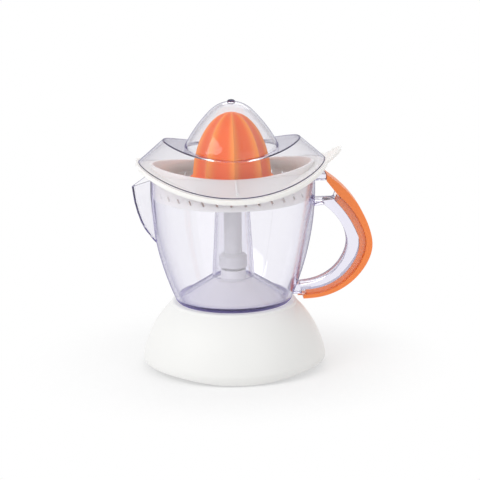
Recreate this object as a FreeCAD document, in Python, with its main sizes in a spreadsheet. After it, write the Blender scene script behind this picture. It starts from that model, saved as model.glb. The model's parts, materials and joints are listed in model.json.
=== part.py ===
"""Citrus press juicer: a motor base, a clear jug with a spout, a strainer bowl, a ribbed cone and a clear lid.

Millimetres, +Z up. The origin is on the cone's axis, at the level of the table. The spout points to -X, the
handle to +X and the front of the base to -Y.
"""
import FreeCAD, Part
import math
import os
import Sketcher

doc = FreeCAD.newDocument("CitrusPress")
sheet = doc.addObject("Spreadsheet::Sheet", "Sizes")


class Size:
    """A number that knows its value and the sheet expression behind it."""

    def __init__(self, value, text):
        self.value = value
        self.text = text

    def joined(self, sign, other, value):
        return Size(value, "(%s %s %s)" % (self.text, sign, other.text))

    def __add__(self, other):
        other = as_size(other)
        return self.joined("+", other, self.value + other.value)

    def __sub__(self, other):
        other = as_size(other)
        return self.joined("-", other, self.value - other.value)

    def __mul__(self, other):
        other = as_size(other)
        return self.joined("*", other, self.value * other.value)

    def __truediv__(self, other):
        other = as_size(other)
        return self.joined("/", other, self.value / other.value)

    def __neg__(self):
        return Size(-self.value, "(0 - %s)" % self.text)

    __radd__ = __add__
    __rmul__ = __mul__

    def __rsub__(self, other):
        return as_size(other) - self


def as_size(number):
    return number if isinstance(number, Size) else Size(float(number), repr(float(number)))


def root(square):
    return Size(math.sqrt(square.value), "sqrt(%s)" % square.text)


def cosine(degrees):
    return Size(math.cos(math.radians(degrees.value)), "cos(%s)" % degrees.text)


def sine(degrees):
    return Size(math.sin(math.radians(degrees.value)), "sin(%s)" % degrees.text)


def size(alias, value):
    """Writes one driving dimension into the sheet and returns it."""
    size.row += 1
    sheet.set("A%d" % size.row, alias)
    sheet.set("B%d" % size.row, str(value))
    sheet.setAlias("B%d" % size.row, alias)
    return Size(float(value), "Sizes.%s" % alias)


size.row = 0

# Driving dimensions: clearances
running_gap = size("running_gap", 0.05)
slip_gap = size("slip_gap", 0.15)
seat_gap = size("seat_gap", 0.3)
press_travel = size("press_travel", 2.0)

# Driving dimensions: base housing
base_radius = size("base_radius", 80.5)
base_widest = size("base_widest", 9.0)
rim_inset = size("rim_inset", 1.9)
rim_gap = size("rim_gap", 1.0)
rim_bend = size("rim_bend", 20.0)
skirt_bend = size("skirt_bend", 85.0)
shoulder_radius = size("shoulder_radius", 55.5)
shoulder_round = size("shoulder_round", 2.4)
ledge_height = size("ledge_height", 57.8)
ledge_inner = size("ledge_inner", 45.5)
crown_radius = size("crown_radius", 17.0)
crown_height = size("crown_height", 76.0)
tower_radius = size("tower_radius", 11.1)
tower_height = size("tower_height", 85.6)
housing_wall = size("housing_wall", 2.5)
lobe_half = size("lobe_half", 36.0)
lobe_rise = size("lobe_rise", 2.3)
side_rise = size("side_rise", 5.0)
side_bend = size("side_bend", 420.0)

# Driving dimensions: bottom cover, feet and screws
cover_level = size("cover_level", 6.0)
cover_thickness = size("cover_thickness", 2.5)
foot_width = size("foot_width", 9.0)
foot_stud = size("foot_stud", 3.0)
foot_inset = size("foot_inset", 9.0)
foot_angle = size("foot_angle", 60.0)
screw_radius = size("screw_radius", 1.5)
screw_head = size("screw_head", 3.0)
screw_head_height = size("screw_head_height", 1.8)
screw_bite = size("screw_bite", 8.0)
boss_radius = size("boss_radius", 4.0)
cover_boss_inset = size("cover_boss_inset", 11.8)
cover_vent_length = size("cover_vent_length", 22.0)
cover_vent_width = size("cover_vent_width", 2.4)
cover_vent_pitch = size("cover_vent_pitch", 6.0)
cover_vent_reach = size("cover_vent_reach", 50.0)
gland_radius = size("gland_radius", 5.0)
gland_bore = size("gland_bore", 3.2)
gland_level = size("gland_level", 22.0)
gland_lip = size("gland_lip", 1.5)

# Driving dimensions: gear train
main_module = size("main_module", 1.0)
main_teeth = size("main_teeth", 54)
main_pinion_teeth = size("main_pinion_teeth", 10)
fast_module = size("fast_module", 0.7)
fast_teeth = size("fast_teeth", 60)
fast_pinion_teeth = size("fast_pinion_teeth", 10)
fast_angle = size("fast_angle", 110.0)
chassis_level = size("chassis_level", 32.0)
chassis_thickness = size("chassis_thickness", 2.5)
chassis_radius = size("chassis_radius", 50.0)
chassis_boss_ring = size("chassis_boss_ring", 45.0)
chassis_boss_angle = size("chassis_boss_angle", 75.0)
chassis_collar = size("chassis_collar", 8.0)
gear_lift = size("gear_lift", 1.0)
fast_gear_width = size("fast_gear_width", 5.0)
main_gear_width = size("main_gear_width", 6.0)
gear_step = size("gear_step", 1.5)
gear_hub = size("gear_hub", 9.0)
hub_overhang = size("hub_overhang", 4.0)
axle_radius = size("axle_radius", 2.0)

# Driving dimensions: spindle, bush and spring
spindle_radius = size("spindle_radius", 5.0)
spindle_tail = size("spindle_tail", 4.0)
spindle_foot = size("spindle_foot", 22.0)
spindle_hex = size("spindle_hex", 8.6)
shoulder_flange = size("shoulder_flange", 8.4)
shoulder_flange_height = size("shoulder_flange_height", 2.5)
bush_radius = size("bush_radius", 8.0)
bush_flange = size("bush_flange", 10.5)
bush_flange_height = size("bush_flange_height", 2.0)
bush_neck = size("bush_neck", 2.8)
spindle_drive = size("spindle_drive", 8.0)
spring_radius = size("spring_radius", 7.0)
spring_wire = size("spring_wire", 0.6)
spring_turns = size("spring_turns", 5)

# Driving dimensions: motor and switch
core_stack = size("core_stack", 14.0)
core_level = size("core_level", 13.5)
core_leg = size("core_leg", 9.0)
core_width = size("core_width", 30.0)
core_pole = size("core_pole", 16.5)
core_length = size("core_length", 80.0)
core_slit = size("core_slit", 4.0)
rotor_radius = size("rotor_radius", 12.0)
rotor_gap = size("rotor_gap", 1.0)
rotor_shaft_radius = size("rotor_shaft_radius", 2.0)
bobbin_wall = size("bobbin_wall", 1.0)
bobbin_flange = size("bobbin_flange", 3.2)
bobbin_length = size("bobbin_length", 33.0)
bracket_thickness = size("bracket_thickness", 2.5)
switch_length = size("switch_length", 20.0)
switch_width = size("switch_width", 6.4)
switch_height = size("switch_height", 9.0)
plunger_radius = size("plunger_radius", 1.6)
plunger_depth = size("plunger_depth", 5.0)

# Driving dimensions: jug
jug_foot_radius = size("jug_foot_radius", 51.0)
jug_foot_height = size("jug_foot_height", 1.6)
jug_radius = size("jug_radius", 72.6)
jug_straight = size("jug_straight", 157.0)
jug_bend = size("jug_bend", 253.0)
jug_wall = size("jug_wall", 2.0)
rim_level = size("rim_level", 160.1)
saddle_bend = size("saddle_bend", 185.0)
floor_wall = size("floor_wall", 1.8)
chimney_foot = size("chimney_foot", 18.5)
chimney_top = size("chimney_top", 14.4)
chimney_height = size("chimney_height", 148.0)
chimney_wall = size("chimney_wall", 1.5)
spout_tip = size("spout_tip", 88.9)
spout_angle = size("spout_angle", 38.0)
spout_round = size("spout_round", 3.0)
spout_start = size("spout_start", 108.0)
lip_level = size("lip_level", 161.5)
lip_slope = size("lip_slope", 0.51)
foot_part_top = size("foot_part_top", 83.0)
chimney_part_radius = size("chimney_part_radius", 30.0)
spout_part_back = size("spout_part_back", 66.0)
lug_length = size("lug_length", 14.0)
lug_height = size("lug_height", 6.0)
lug_back = size("lug_back", 68.0)
lug_level = size("lug_level", 164.0)

# Driving dimensions: handle
handle_low_x = size("handle_low_x", 56.0)
handle_low_z = size("handle_low_z", 62.5)
handle_apex_x = size("handle_apex_x", 118.0)
handle_apex_z = size("handle_apex_z", 106.0)
handle_top_x = size("handle_top_x", 91.0)
handle_top_z = size("handle_top_z", 152.0)
handle_low_bend = size("handle_low_bend", 53.55)
handle_top_bend = size("handle_top_bend", 76.7)
web_low = size("web_low", 3.6)
web_side = size("web_side", 6.0)
web_low_bend = size("web_low_bend", 47.8)
web_top_bend = size("web_top_bend", 86.0)
hand_low_x = size("hand_low_x", 60.0)
hand_low_z = size("hand_low_z", 71.5)
hand_side_x = size("hand_side_x", 101.5)
hand_top_x = size("hand_top_x", 80.0)
hand_top_z = size("hand_top_z", 142.5)
hand_low_bend = size("hand_low_bend", 41.0)
hand_top_bend = size("hand_top_bend", 53.2)
grip_low_x = size("grip_low_x", 61.0)
grip_low_z = size("grip_low_z", 58.7)
grip_apex_x = size("grip_apex_x", 123.7)
grip_apex_z = size("grip_apex_z", 104.0)
grip_top_x = size("grip_top_x", 82.3)
grip_top_z = size("grip_top_z", 170.0)
grip_low_bend = size("grip_low_bend", 59.4)
grip_top_bend = size("grip_top_bend", 92.1)
grip_swell = size("grip_swell", 1.009)
grip_round = size("grip_round", 42.0)
handle_round = size("handle_round", 36.0)
hand_round = size("hand_round", 26.0)
frame_width = size("frame_width", 17.0)
channel_wall = size("channel_wall", 1.8)
grip_width = size("grip_width", 21.0)
lug_width = size("lug_width", 14.0)

# Driving dimensions: strainer bowl
flange_length = size("flange_length", 84.0)
flange_depth = size("flange_depth", 77.0)
flange_level = size("flange_level", 160.4)
flange_thickness = size("flange_thickness", 4.0)
apron_length = size("apron_length", 80.0)
apron_depth = size("apron_depth", 70.8)
mouth_length = size("mouth_length", 71.5)
mouth_depth = size("mouth_depth", 44.0)
mouth_level = size("mouth_level", 174.7)
mouth_bend = size("mouth_bend", 340.0)
bowl_wall = size("bowl_wall", 2.2)
drain_radius = size("drain_radius", 69.5)
drain_level = size("drain_level", 153.0)
bowl_floor = size("bowl_floor", 2.0)
floor_lift = size("floor_lift", 2.0)
slot_count = size("slot_count", 24)
slot_width = size("slot_width", 2.0)
slot_inner = size("slot_inner", 42.0)
slot_outer = size("slot_outer", 62.0)
vent_count = size("vent_count", 36)
vent_width = size("vent_width", 1.8)
vent_height = size("vent_height", 4.4)
vent_lean = size("vent_lean", 28.0)
collar_height = size("collar_height", 165.0)
collar_wall = size("collar_wall", 3.0)
tongue_reach = size("tongue_reach", 96.0)
tongue_width = size("tongue_width", 26.0)
tongue_thickness = size("tongue_thickness", 2.6)
tongue_tilt = size("tongue_tilt", 36.0)
tongue_root = size("tongue_root", 4.0)
tongue_start = size("tongue_start", 82.6)
rib_width = size("rib_width", 1.4)
rib_height = size("rib_height", 1.2)
rib_end = size("rib_end", 5.6)

# Driving dimensions: cone, drive shaft and turning bush
cone_radius = size("cone_radius", 34.3)
cone_height = size("cone_height", 60.0)
cone_level = size("cone_level", 166.0)
cone_flange = size("cone_flange", 37.0)
cone_flange_height = size("cone_flange_height", 2.2)
cone_ribs = size("cone_ribs", 8)
cone_valley = size("cone_valley", 0.86)
cone_wall = size("cone_wall", 4.5)
socket_radius = size("socket_radius", 9.5)
shaft_radius = size("shaft_radius", 7.9)
shaft_collar = size("shaft_collar", 12.3)
shaft_collar_height = size("shaft_collar_height", 10.5)
shaft_shoulder = size("shaft_shoulder", 150.0)
shaft_hex = size("shaft_hex", 12.0)
shaft_top = size("shaft_top", 205.0)
turn_bush_radius = size("turn_bush_radius", 9.5)
turn_bush_flange = size("turn_bush_flange", 12.2)
turn_bush_flange_height = size("turn_bush_flange_height", 2.0)

# Driving dimensions: lid
lid_foot_length = size("lid_foot_length", 113.0)
lid_foot_depth = size("lid_foot_depth", 81.4)
lid_ridge_length = size("lid_ridge_length", 60.0)
lid_ridge_depth = size("lid_ridge_depth", 31.9)
lid_low = size("lid_low", 156.0)
lid_high = size("lid_high", 203.0)
lid_wall = size("lid_wall", 1.8)
valley_level = size("valley_level", 191.5)
valley_bend = size("valley_bend", 156.0)
dome_top = size("dome_top", 235.5)
dome_crown = size("dome_crown", 26.0)
dome_side = size("dome_side", 125.0)
dome_foot = size("dome_foot", 41.3)
knob_radius = size("knob_radius", 3.6)
knob_height = size("knob_height", 1.8)

doc.recompute()

# Levels and places that follow from the driving dimensions
cover_top = cover_level + cover_thickness
rim_radius = base_radius - rim_inset
cover_radius = rim_radius - housing_wall - seat_gap
cover_boss_ring = cover_radius - cover_boss_inset
foot_ring = cover_boss_ring - foot_inset
chassis_top = chassis_level + chassis_thickness
fast_gear_level = chassis_top + gear_lift
pinion_level = fast_gear_level + fast_gear_width
main_gear_level = pinion_level + gear_step
main_hub_low = main_gear_level - gear_step
main_hub_top = main_gear_level + main_gear_width + hub_overhang
main_distance = main_module * (main_teeth + main_pinion_teeth) / 2
fast_distance = fast_module * (fast_teeth + fast_pinion_teeth) / 2
idler_x = main_distance
rotor_x = idler_x + fast_distance * cosine(fast_angle)
rotor_y = fast_distance * sine(fast_angle)
core_top = core_level + core_stack
bush_low = crown_height - housing_wall - bush_flange_height
bush_top = tower_height + bush_neck
shoulder_top = bush_low - seat_gap
shoulder_low = shoulder_top - shoulder_flange_height
collar_level = tower_height + press_travel + 2 * seat_gap
spindle_top = collar_level + shaft_collar_height - 2.0
drive_low = bush_top + seat_gap
jug_level = ledge_height + seat_gap
flange_axis = flange_level + saddle_bend
floor_level = drain_level + floor_lift
floor_top = floor_level + bowl_floor


def bind(item, **properties):
    """Ties an object's properties to sheet expressions."""
    for name, value in properties.items():
        item.setExpression(name.replace("__", "."), as_size(value).text)


def place(item, x=0, y=0, z=0):
    """Ties an object's position to sheet expressions."""
    bind(item, Placement__Base__x=x, Placement__Base__y=y, Placement__Base__z=z)


def cylinder(name, radius, height, x=0, y=0, z=0):
    item = doc.addObject("Part::Cylinder", name)
    bind(item, Radius=radius, Height=height)
    place(item, x, y, z)
    return item


def cross_cylinder(name, radius, axis_height, reach=260):
    """A cylinder lying along Y, for surfaces that bend up at both sides."""
    item = doc.addObject("Part::Cylinder", name)
    item.Placement = FreeCAD.Placement(FreeCAD.Vector(), FreeCAD.Rotation(FreeCAD.Vector(1, 0, 0), -90))
    bind(item, Radius=radius, Height=reach)
    place(item, 0, -as_size(reach) / 2, axis_height)
    return item


def box(name, length, width, height, x, y, z):
    """A box centred on y, from x and z up."""
    item = doc.addObject("Part::Box", name)
    bind(item, Length=length, Width=width, Height=height)
    place(item, x, as_size(y) - as_size(width) / 2, z)
    return item


def prism(name, across_flats, height, z):
    """A hexagonal bar on the main axis."""
    item = doc.addObject("Part::Prism", name)
    item.Polygon = 6
    bind(item, Circumradius=across_flats / (2 * cosine(as_size(30))), Height=height)
    place(item, 0, 0, z)
    return item


def fuse(name, *items):
    item = doc.addObject("Part::MultiFuse", name)
    item.Shapes = list(items)
    item.Refine = True
    return item


def cut(name, base, tool):
    item = doc.addObject("Part::Cut", name)
    item.Base = base
    item.Tool = tool
    item.Refine = False
    return item


def common(name, *items):
    item = doc.addObject("Part::MultiCommon", name)
    item.Shapes = list(items)
    return item


def group(name, items):
    """Separate solids kept together, such as like screws."""
    item = doc.addObject("Part::Compound", name)
    item.Links = list(items)
    return item


def draw(sketch, points):
    """Draws a closed outline through points (x, y) or (x, y, bend), walked anticlockwise.

    A bend is the radius of the run that ends at its point: it swells outwards, or inwards if negative.
    """
    places = [tuple(as_size(number) for number in point) for point in points]
    vectors = [FreeCAD.Vector(point[0].value, point[1].value, 0) for point in places]
    runs = []
    for i in range(len(places)):
        start = vectors[i - 1]
        end = vectors[i]
        if len(places[i]) == 2:
            runs.append((sketch.addGeometry(Part.LineSegment(start, end), False), 1, 2))
            continue
        bend = places[i][2].value
        chord = end - start
        left = FreeCAD.Vector(-chord.y, chord.x, 0).normalize() * math.copysign(1, bend)
        middle = (start + end) / 2
        drop = math.sqrt(bend * bend - chord.Length * chord.Length / 4)
        crest = middle + left * (drop - abs(bend))
        line = sketch.addGeometry(Part.Arc(start, crest, end), False)
        forward = sketch.getPoint(line, 1).distanceToPoint(start) < sketch.getPoint(line, 2).distanceToPoint(start)
        runs.append((line, 1, 2) if forward else (line, 2, 1))
        hold(sketch, Sketcher.Constraint("Radius", line, abs(bend)), as_size(abs_text(places[i][2])))
    for i in range(len(runs)):
        line, first, last = runs[i]
        after, after_first, _ = runs[(i + 1) % len(runs)]
        sketch.addConstraint(Sketcher.Constraint("Coincident", line, last, after, after_first))
    for i in range(len(runs)):
        line, _, last = runs[i]
        for kind, axis, number in (("DistanceX", -2, places[i][0]), ("DistanceY", -1, places[i][1])):
            if number.value == 0:
                sketch.addConstraint(Sketcher.Constraint("PointOnObject", line, last, axis))
            else:
                hold(sketch, Sketcher.Constraint(kind, -1, 1, line, last, number.value), number)


def abs_text(number):
    return number if number.value > 0 else -number


def hold(sketch, constraint, number):
    index = sketch.addConstraint(constraint)
    sketch.setExpression("Constraints[%d]" % index, number.text)


def sketch_in(body, name, role, points):
    plane = [feature for feature in body.Origin.OriginFeatures if feature.Role == role][0]
    sketch = body.newObject("Sketcher::SketchObject", name)
    sketch.AttachmentSupport = [(plane, "")]
    sketch.MapMode = "FlatFace"
    draw(sketch, points)
    return sketch


def turned(name, points):
    """A body turned about the main axis from a half outline of (radius, height)."""
    body = doc.addObject("PartDesign::Body", name)
    sketch = sketch_in(body, name + "Outline", "XZ_Plane", points)
    feature = body.newObject("PartDesign::Revolution", name + "Turn")
    feature.Profile = sketch
    feature.ReferenceAxis = (sketch, ["V_Axis"])
    feature.Angle = 360
    return body


def slab(name, points, width):
    """A body of even width about the XZ plane."""
    body = doc.addObject("PartDesign::Body", name)
    sketch = sketch_in(body, name + "Outline", "XZ_Plane", points)
    feature = body.newObject("PartDesign::Pad", name + "Pad")
    feature.Profile = sketch
    feature.Midplane = True
    bind(feature, Length=width)
    return body


def rounded(body, x, z, radius):
    """Rounds the edge of a slab that runs across it at (x, z)."""
    doc.recompute()
    pad = body.Tip
    spot = FreeCAD.Vector(as_size(x).value, 0, as_size(z).value)
    names = ["Edge%d" % (i + 1) for i, edge in enumerate(pad.Shape.Edges)
             if edge.CenterOfMass.distanceToPoint(spot) < 0.01]
    feature = body.newObject("PartDesign::Fillet", "%sRound%d" % (body.Name, len(body.Group)))
    feature.Base = (pad, names)
    bind(feature, Radius=radius)
    return body


def plate(name, points, height, z):
    """A body of even height above a level, from its plan outline."""
    body = doc.addObject("PartDesign::Body", name)
    sketch = sketch_in(body, name + "Outline", "XY_Plane", points)
    feature = body.newObject("PartDesign::Pad", name + "Pad")
    feature.Profile = sketch
    bind(feature, Length=height)
    place(body, 0, 0, z)
    return body


def ellipse(name, half_length, half_depth, z):
    item = doc.addObject("Part::Ellipse", name)
    bind(item, MajorRadius=half_length, MinorRadius=half_depth)
    place(item, 0, 0, z)
    return item


def loft(name, sections, ruled=True):
    item = doc.addObject("Part::Loft", name)
    item.Sections = sections
    item.Solid = True
    item.Ruled = ruled
    return item


def solid_feature(name, shape):
    item = doc.addObject("Part::Feature", name)
    item.Shape = shape
    return item


def ring_of(make, count, radius, first_degrees):
    """Calls make(index, x, y) for each place on a ring about the axis."""
    step = 360.0 / count
    made = []
    for i in range(count):
        turn = first_degrees + i * step
        made.append(make(i, radius * cosine(turn), radius * sine(turn)))
    return made


def gear_wire(teeth, module, turn_degrees):
    """The outline of a spur gear with straight stub flanks, as a closed wire at z = 0."""
    pitch = module * teeth / 2
    tip = pitch + 0.8 * module
    foot = pitch - 1.15 * module
    step = 2 * math.pi / teeth
    start = math.radians(turn_degrees)
    half_tip = 0.10 * step * pitch / tip
    half_pitch = 0.215 * step
    half_foot = 0.30 * step
    corners = []
    for i in range(teeth):
        middle = start + i * step
        for radius, half in ((foot, -half_foot), (pitch, -half_pitch), (tip, -half_tip),
                             (tip, half_tip), (pitch, half_pitch), (foot, half_foot)):
            angle = middle + half
            corners.append(FreeCAD.Vector(radius * math.cos(angle), radius * math.sin(angle), 0))
    return Part.makePolygon(corners + corners[:1])


def gear_solid(teeth, module, width, x, y, z, turn_degrees=0.0):
    face = Part.Face(gear_wire(int(teeth.value), module.value, turn_degrees))
    face.translate(FreeCAD.Vector(as_size(x).value, as_size(y).value, z.value))
    return face.extrude(FreeCAD.Vector(0, 0, width.value))


def base_housing():
    """Moulded bell: flared skirt with a wavy rim, a ledge for the jug and the spindle's tower."""
    inner_rim = rim_radius - housing_wall
    outer_line = [
        (rim_radius, rim_gap),
        (base_radius, base_widest, rim_bend),
        (shoulder_radius, ledge_height - shoulder_round, skirt_bend),
        (shoulder_radius - shoulder_round, ledge_height, shoulder_round),
        (ledge_inner, ledge_height),
        (crown_radius, crown_height),
        (tower_radius, crown_height),
        (tower_radius, tower_height),
    ]
    mass = turned("HousingMass", outer_line + [(0, tower_height), (0, rim_gap)])
    hollow = turned("HousingHollow", [
        (inner_rim, rim_gap - 1),
        (inner_rim, base_widest + housing_wall),
        (shoulder_radius - housing_wall, ledge_height - shoulder_round - housing_wall, skirt_bend),
        (shoulder_radius - housing_wall - shoulder_round, ledge_height - housing_wall),
        (ledge_inner - housing_wall / 2, ledge_height - housing_wall),
        (crown_radius - housing_wall / 2, crown_height - housing_wall),
        (bush_radius, crown_height - housing_wall),
        (bush_radius, tower_height + 1),
        (0, tower_height + 1),
        (0, rim_gap - 1),
    ])
    shell = cut("HousingShell", mass, hollow)

    def cover_boss(i, x, y):
        return cylinder("CoverBoss%d" % i, boss_radius, crown_height, x, y, cover_top)

    def chassis_boss(i, x, y):
        return cylinder("ChassisBoss%d" % i, boss_radius, crown_height, x, y, chassis_top)

    posts = ring_of(cover_boss, 4, cover_boss_ring, as_size(45))
    posts += [chassis_boss(i, x, y) for i, (x, y) in enumerate(chassis_places())]
    bosses = common("HousingBosses", fuse("HousingPosts", *posts), mass)
    bossed = fuse("HousingBossed", shell, bosses)
    wave = slab("RimWave", [
        (-base_radius - 4, rim_gap - 6),
        (base_radius + 4, rim_gap - 6),
        (base_radius + 4, rim_gap + side_rise),
        (lobe_half, rim_gap + lobe_rise, side_bend),
        (-lobe_half, rim_gap + lobe_rise, -lobe_bend()),
        (-base_radius - 4, rim_gap + side_rise, side_bend),
    ], 4 * base_radius)
    holes = [cylinder("CoverPilot%d" % i, screw_radius, screw_bite + 1, x, y, cover_top - 1)
             for i, (x, y) in enumerate(cover_places())]
    holes += [cylinder("ChassisPilot%d" % i, screw_radius, screw_bite + 1, x, y, chassis_top - 1)
              for i, (x, y) in enumerate(chassis_places())]
    holes.append(gland_bar("GlandHole", gland_radius, base_radius * 0.75, base_radius / 2))
    return cut("BaseHousing", bossed, fuse("HousingCuts", wave, *holes))


def lobe_bend():
    """Radius of the front lobe's arc, from its half width and its rise."""
    return (lobe_half * lobe_half + lobe_rise * lobe_rise) / (2 * lobe_rise)


def cover_places():
    """Plan places of the four cover screws."""
    return ring_of(lambda i, x, y: (x, y), 4, cover_boss_ring, as_size(45))


def chassis_places():
    """Plan places of the three chassis screws."""
    side = chassis_boss_ring * cosine(chassis_boss_angle)
    reach = chassis_boss_ring * sine(chassis_boss_angle)
    return [(side, reach), (-chassis_boss_ring, as_size(0)), (side, -reach)]


def foot_places():
    side = foot_ring * cosine(foot_angle)
    reach = foot_ring * sine(foot_angle)
    return [(side, reach), (-side, reach), (-side, -reach), (side, -reach)]


def gland_bar(name, radius, start, length):
    """A bar along +Y at the height of the lead's gland."""
    item = doc.addObject("Part::Cylinder", name)
    item.Placement = FreeCAD.Placement(FreeCAD.Vector(), FreeCAD.Rotation(FreeCAD.Vector(1, 0, 0), -90))
    bind(item, Radius=radius, Height=length)
    place(item, 0, start, gland_level)
    return item


def cord_gland():
    """Flanged rubber bush where the mains lead leaves the back of the base."""
    outside = base_radius - seat_gap
    body = gland_bar("GlandBody", gland_radius - slip_gap, outside - 3 * housing_wall, 3 * housing_wall + gland_lip)
    lip = gland_bar("GlandLip", gland_radius + gland_lip, outside, gland_lip)
    bore = gland_bar("GlandBore", gland_bore, outside - 4 * housing_wall, 8 * housing_wall)
    return cut("CordGland", fuse("GlandWhole", body, lip), bore)


def bottom_cover():
    """Flat plate inside the rim, with holes for screws and feet and a ring of vents."""
    disc = cylinder("CoverDisc", cover_radius, cover_thickness, 0, 0, cover_level)
    holes = [cylinder("CoverHole%d" % i, screw_radius + slip_gap, cover_thickness + 2, x, y, cover_level - 1)
             for i, (x, y) in enumerate(cover_places())]
    holes += [cylinder("StudHole%d" % i, foot_stud + slip_gap, cover_thickness + 2, x, y, cover_level - 1)
              for i, (x, y) in enumerate(foot_places())]
    holes += [box("CoverVent%d" % i, cover_vent_width, cover_vent_length, cover_thickness + 2,
                  cover_vent_pitch * i - cover_vent_reach, 0, cover_level - 1) for i in range(5)]
    return cut("BottomCover", disc, fuse("CoverCuts", *holes))


def rubber_foot():
    """Non-slip ring under the cover, held by studs pushed through it."""
    soft = 0.8
    ring = turned("FootRing", [
        (foot_ring - foot_width / 2 + soft, 0),
        (foot_ring + foot_width / 2 - soft, 0),
        (foot_ring + foot_width / 2, soft, soft),
        (foot_ring + foot_width / 2, cover_level),
        (foot_ring - foot_width / 2, cover_level),
        (foot_ring - foot_width / 2, soft),
    ])
    studs = [cylinder("FootStud%d" % i, foot_stud, cover_thickness + 2, x, y, cover_level - 1)
             for i, (x, y) in enumerate(foot_places())]
    return fuse("RubberFoot", ring, *studs)


def screws(name, places, head_under, length):
    """Like screws with round heads, driven upwards with their heads against a level."""
    made = []
    for i, (x, y) in enumerate(places):
        shank = cylinder("%sShank%d" % (name, i), screw_radius - slip_gap, length, x, y, head_under)
        head = cylinder("%sHead%d" % (name, i), screw_head, screw_head_height, x, y,
                        head_under - screw_head_height)
        made.append(fuse("%sScrew%d" % (name, i), shank, head))
    return group(name, made)


def motor_screw_places():
    x = rotor_x + core_pole - 3.2
    offset = core_width / 2 - 3.2
    return [(x, rotor_y + offset), (x, rotor_y - offset)]


def gear_chassis():
    """Moulded plate under the gears, with collars for the spindle and the rotor and stilts for the motor."""
    disc = cylinder("ChassisDisc", chassis_radius, chassis_thickness, 0, 0, chassis_level)
    collar = cylinder("ChassisCollar", chassis_collar, main_hub_low - seat_gap - chassis_level, 0, 0, chassis_level)
    axle_boss = cylinder("AxleBoss", 2.5 * axle_radius, chassis_level - core_top + chassis_thickness,
                         idler_x, 0, core_top)
    rotor_boss = cylinder("RotorBoss", 2.5 * rotor_shaft_radius, chassis_thickness + 3, rotor_x, rotor_y,
                          chassis_level - 3)
    stilts = [cylinder("MotorStilt%d" % i, boss_radius - 1, chassis_level - core_top + 1, x, y, core_top)
              for i, (x, y) in enumerate(motor_screw_places())]
    yoke_x = rotor_x + core_pole - core_length + core_leg / 2
    stilts.append(cylinder("YokeStilt", boss_radius, chassis_level - core_top + 1, yoke_x, rotor_y, core_top))
    whole = fuse("ChassisWhole", disc, collar, axle_boss, rotor_boss, *stilts)
    holes = [
        cylinder("SpindleWay", spindle_radius + seat_gap, 40, 0, 0, chassis_level - 10),
        cylinder("AxleHole", axle_radius, 40, idler_x, 0, chassis_level - 10),
        cylinder("RotorHole", rotor_shaft_radius + running_gap, 40, rotor_x, rotor_y, chassis_level - 10),
    ]
    holes += [cylinder("ChassisHole%d" % i, screw_radius + slip_gap, 40, x, y, chassis_level - 10)
              for i, (x, y) in enumerate(chassis_places())]
    holes += [cylinder("StiltPilot%d" % i, screw_radius, 40, x, y, core_top - 10)
              for i, (x, y) in enumerate(motor_screw_places())]
    return cut("GearChassis", whole, fuse("ChassisCuts", *holes))


def idler_axle():
    return cylinder("IdlerAxle", axle_radius, axle_top() - chassis_level, idler_x, 0, chassis_level)


def axle_top():
    return main_gear_level + main_gear_width + 2.0


def axle_clip():
    """Push-on ring that keeps the compound gear on its axle."""
    clip_level = main_gear_level + main_gear_width + seat_gap
    ring = cylinder("ClipRing", 2 * axle_radius, 0.8, idler_x, 0, clip_level)
    bore = cylinder("ClipBore", axle_radius, 4, idler_x, 0, clip_level - 2)
    return cut("AxleClip", ring, bore)


def main_gear():
    """Large gear on the spindle's hexagon, with a hub that seats the spring."""
    rim = solid_feature("MainRim", gear_solid(main_teeth, main_module, main_gear_width, 0, 0, main_gear_level))
    hub = cylinder("MainHub", gear_hub, main_hub_top - main_hub_low, 0, 0, main_hub_low)
    recess = cut("MainRecess", cylinder("RecessDisc", 21, 2, 0, 0, main_gear_level + main_gear_width - 1.5),
                 cylinder("RecessHub", gear_hub, 4, 0, 0, main_gear_level + main_gear_width - 2.5))
    whole = cut("MainRimCut", fuse("MainWhole", rim, hub), recess)
    return cut("MainGear", whole, prism("MainBore", spindle_hex + 2 * slip_gap, 60, main_hub_low - 20))


def compound_gear():
    """Reduction gear: a large wheel under a small pinion, on the fixed axle."""
    wheel = solid_feature("FastWheel", gear_solid(fast_teeth, fast_module, fast_gear_width, idler_x, 0,
                                                  fast_gear_level, fast_wheel_turn()))
    half_tooth = 180.0 / main_pinion_teeth.value
    pinion = solid_feature("SlowPinion", gear_solid(main_pinion_teeth, main_module,
                                                    main_gear_width + gear_step, idler_x, 0, pinion_level,
                                                    180.0 + half_tooth))
    bore = cylinder("IdlerBore", axle_radius + running_gap, 60, idler_x, 0, chassis_level)
    return cut("CompoundGear", fuse("CompoundWhole", wheel, pinion), bore)


def fast_wheel_turn():
    """A tooth of the wheel points at the rotor."""
    return fast_angle.value


def motor_pinion():
    half_tooth = 180.0 / fast_pinion_teeth.value
    teeth = solid_feature("PinionTeeth", gear_solid(fast_pinion_teeth, fast_module, fast_gear_width, rotor_x,
                                                    rotor_y, fast_gear_level,
                                                    fast_angle.value + 180.0 + half_tooth))
    return cut("MotorPinion", teeth, cylinder("PinionBore", rotor_shaft_radius, 60, rotor_x, rotor_y, chassis_level))


def rotor_shaft():
    low = core_level - bracket_thickness
    return cylinder("RotorShaft", rotor_shaft_radius, pinion_level - low, rotor_x, rotor_y, low)


def rotor_magnet():
    bar = cylinder("MagnetBar", rotor_radius, core_stack - 2 * rotor_gap, rotor_x, rotor_y, core_level + rotor_gap)
    return cut("RotorMagnet", bar, cylinder("MagnetBore", rotor_shaft_radius, 60, rotor_x, rotor_y, 0))


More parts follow.
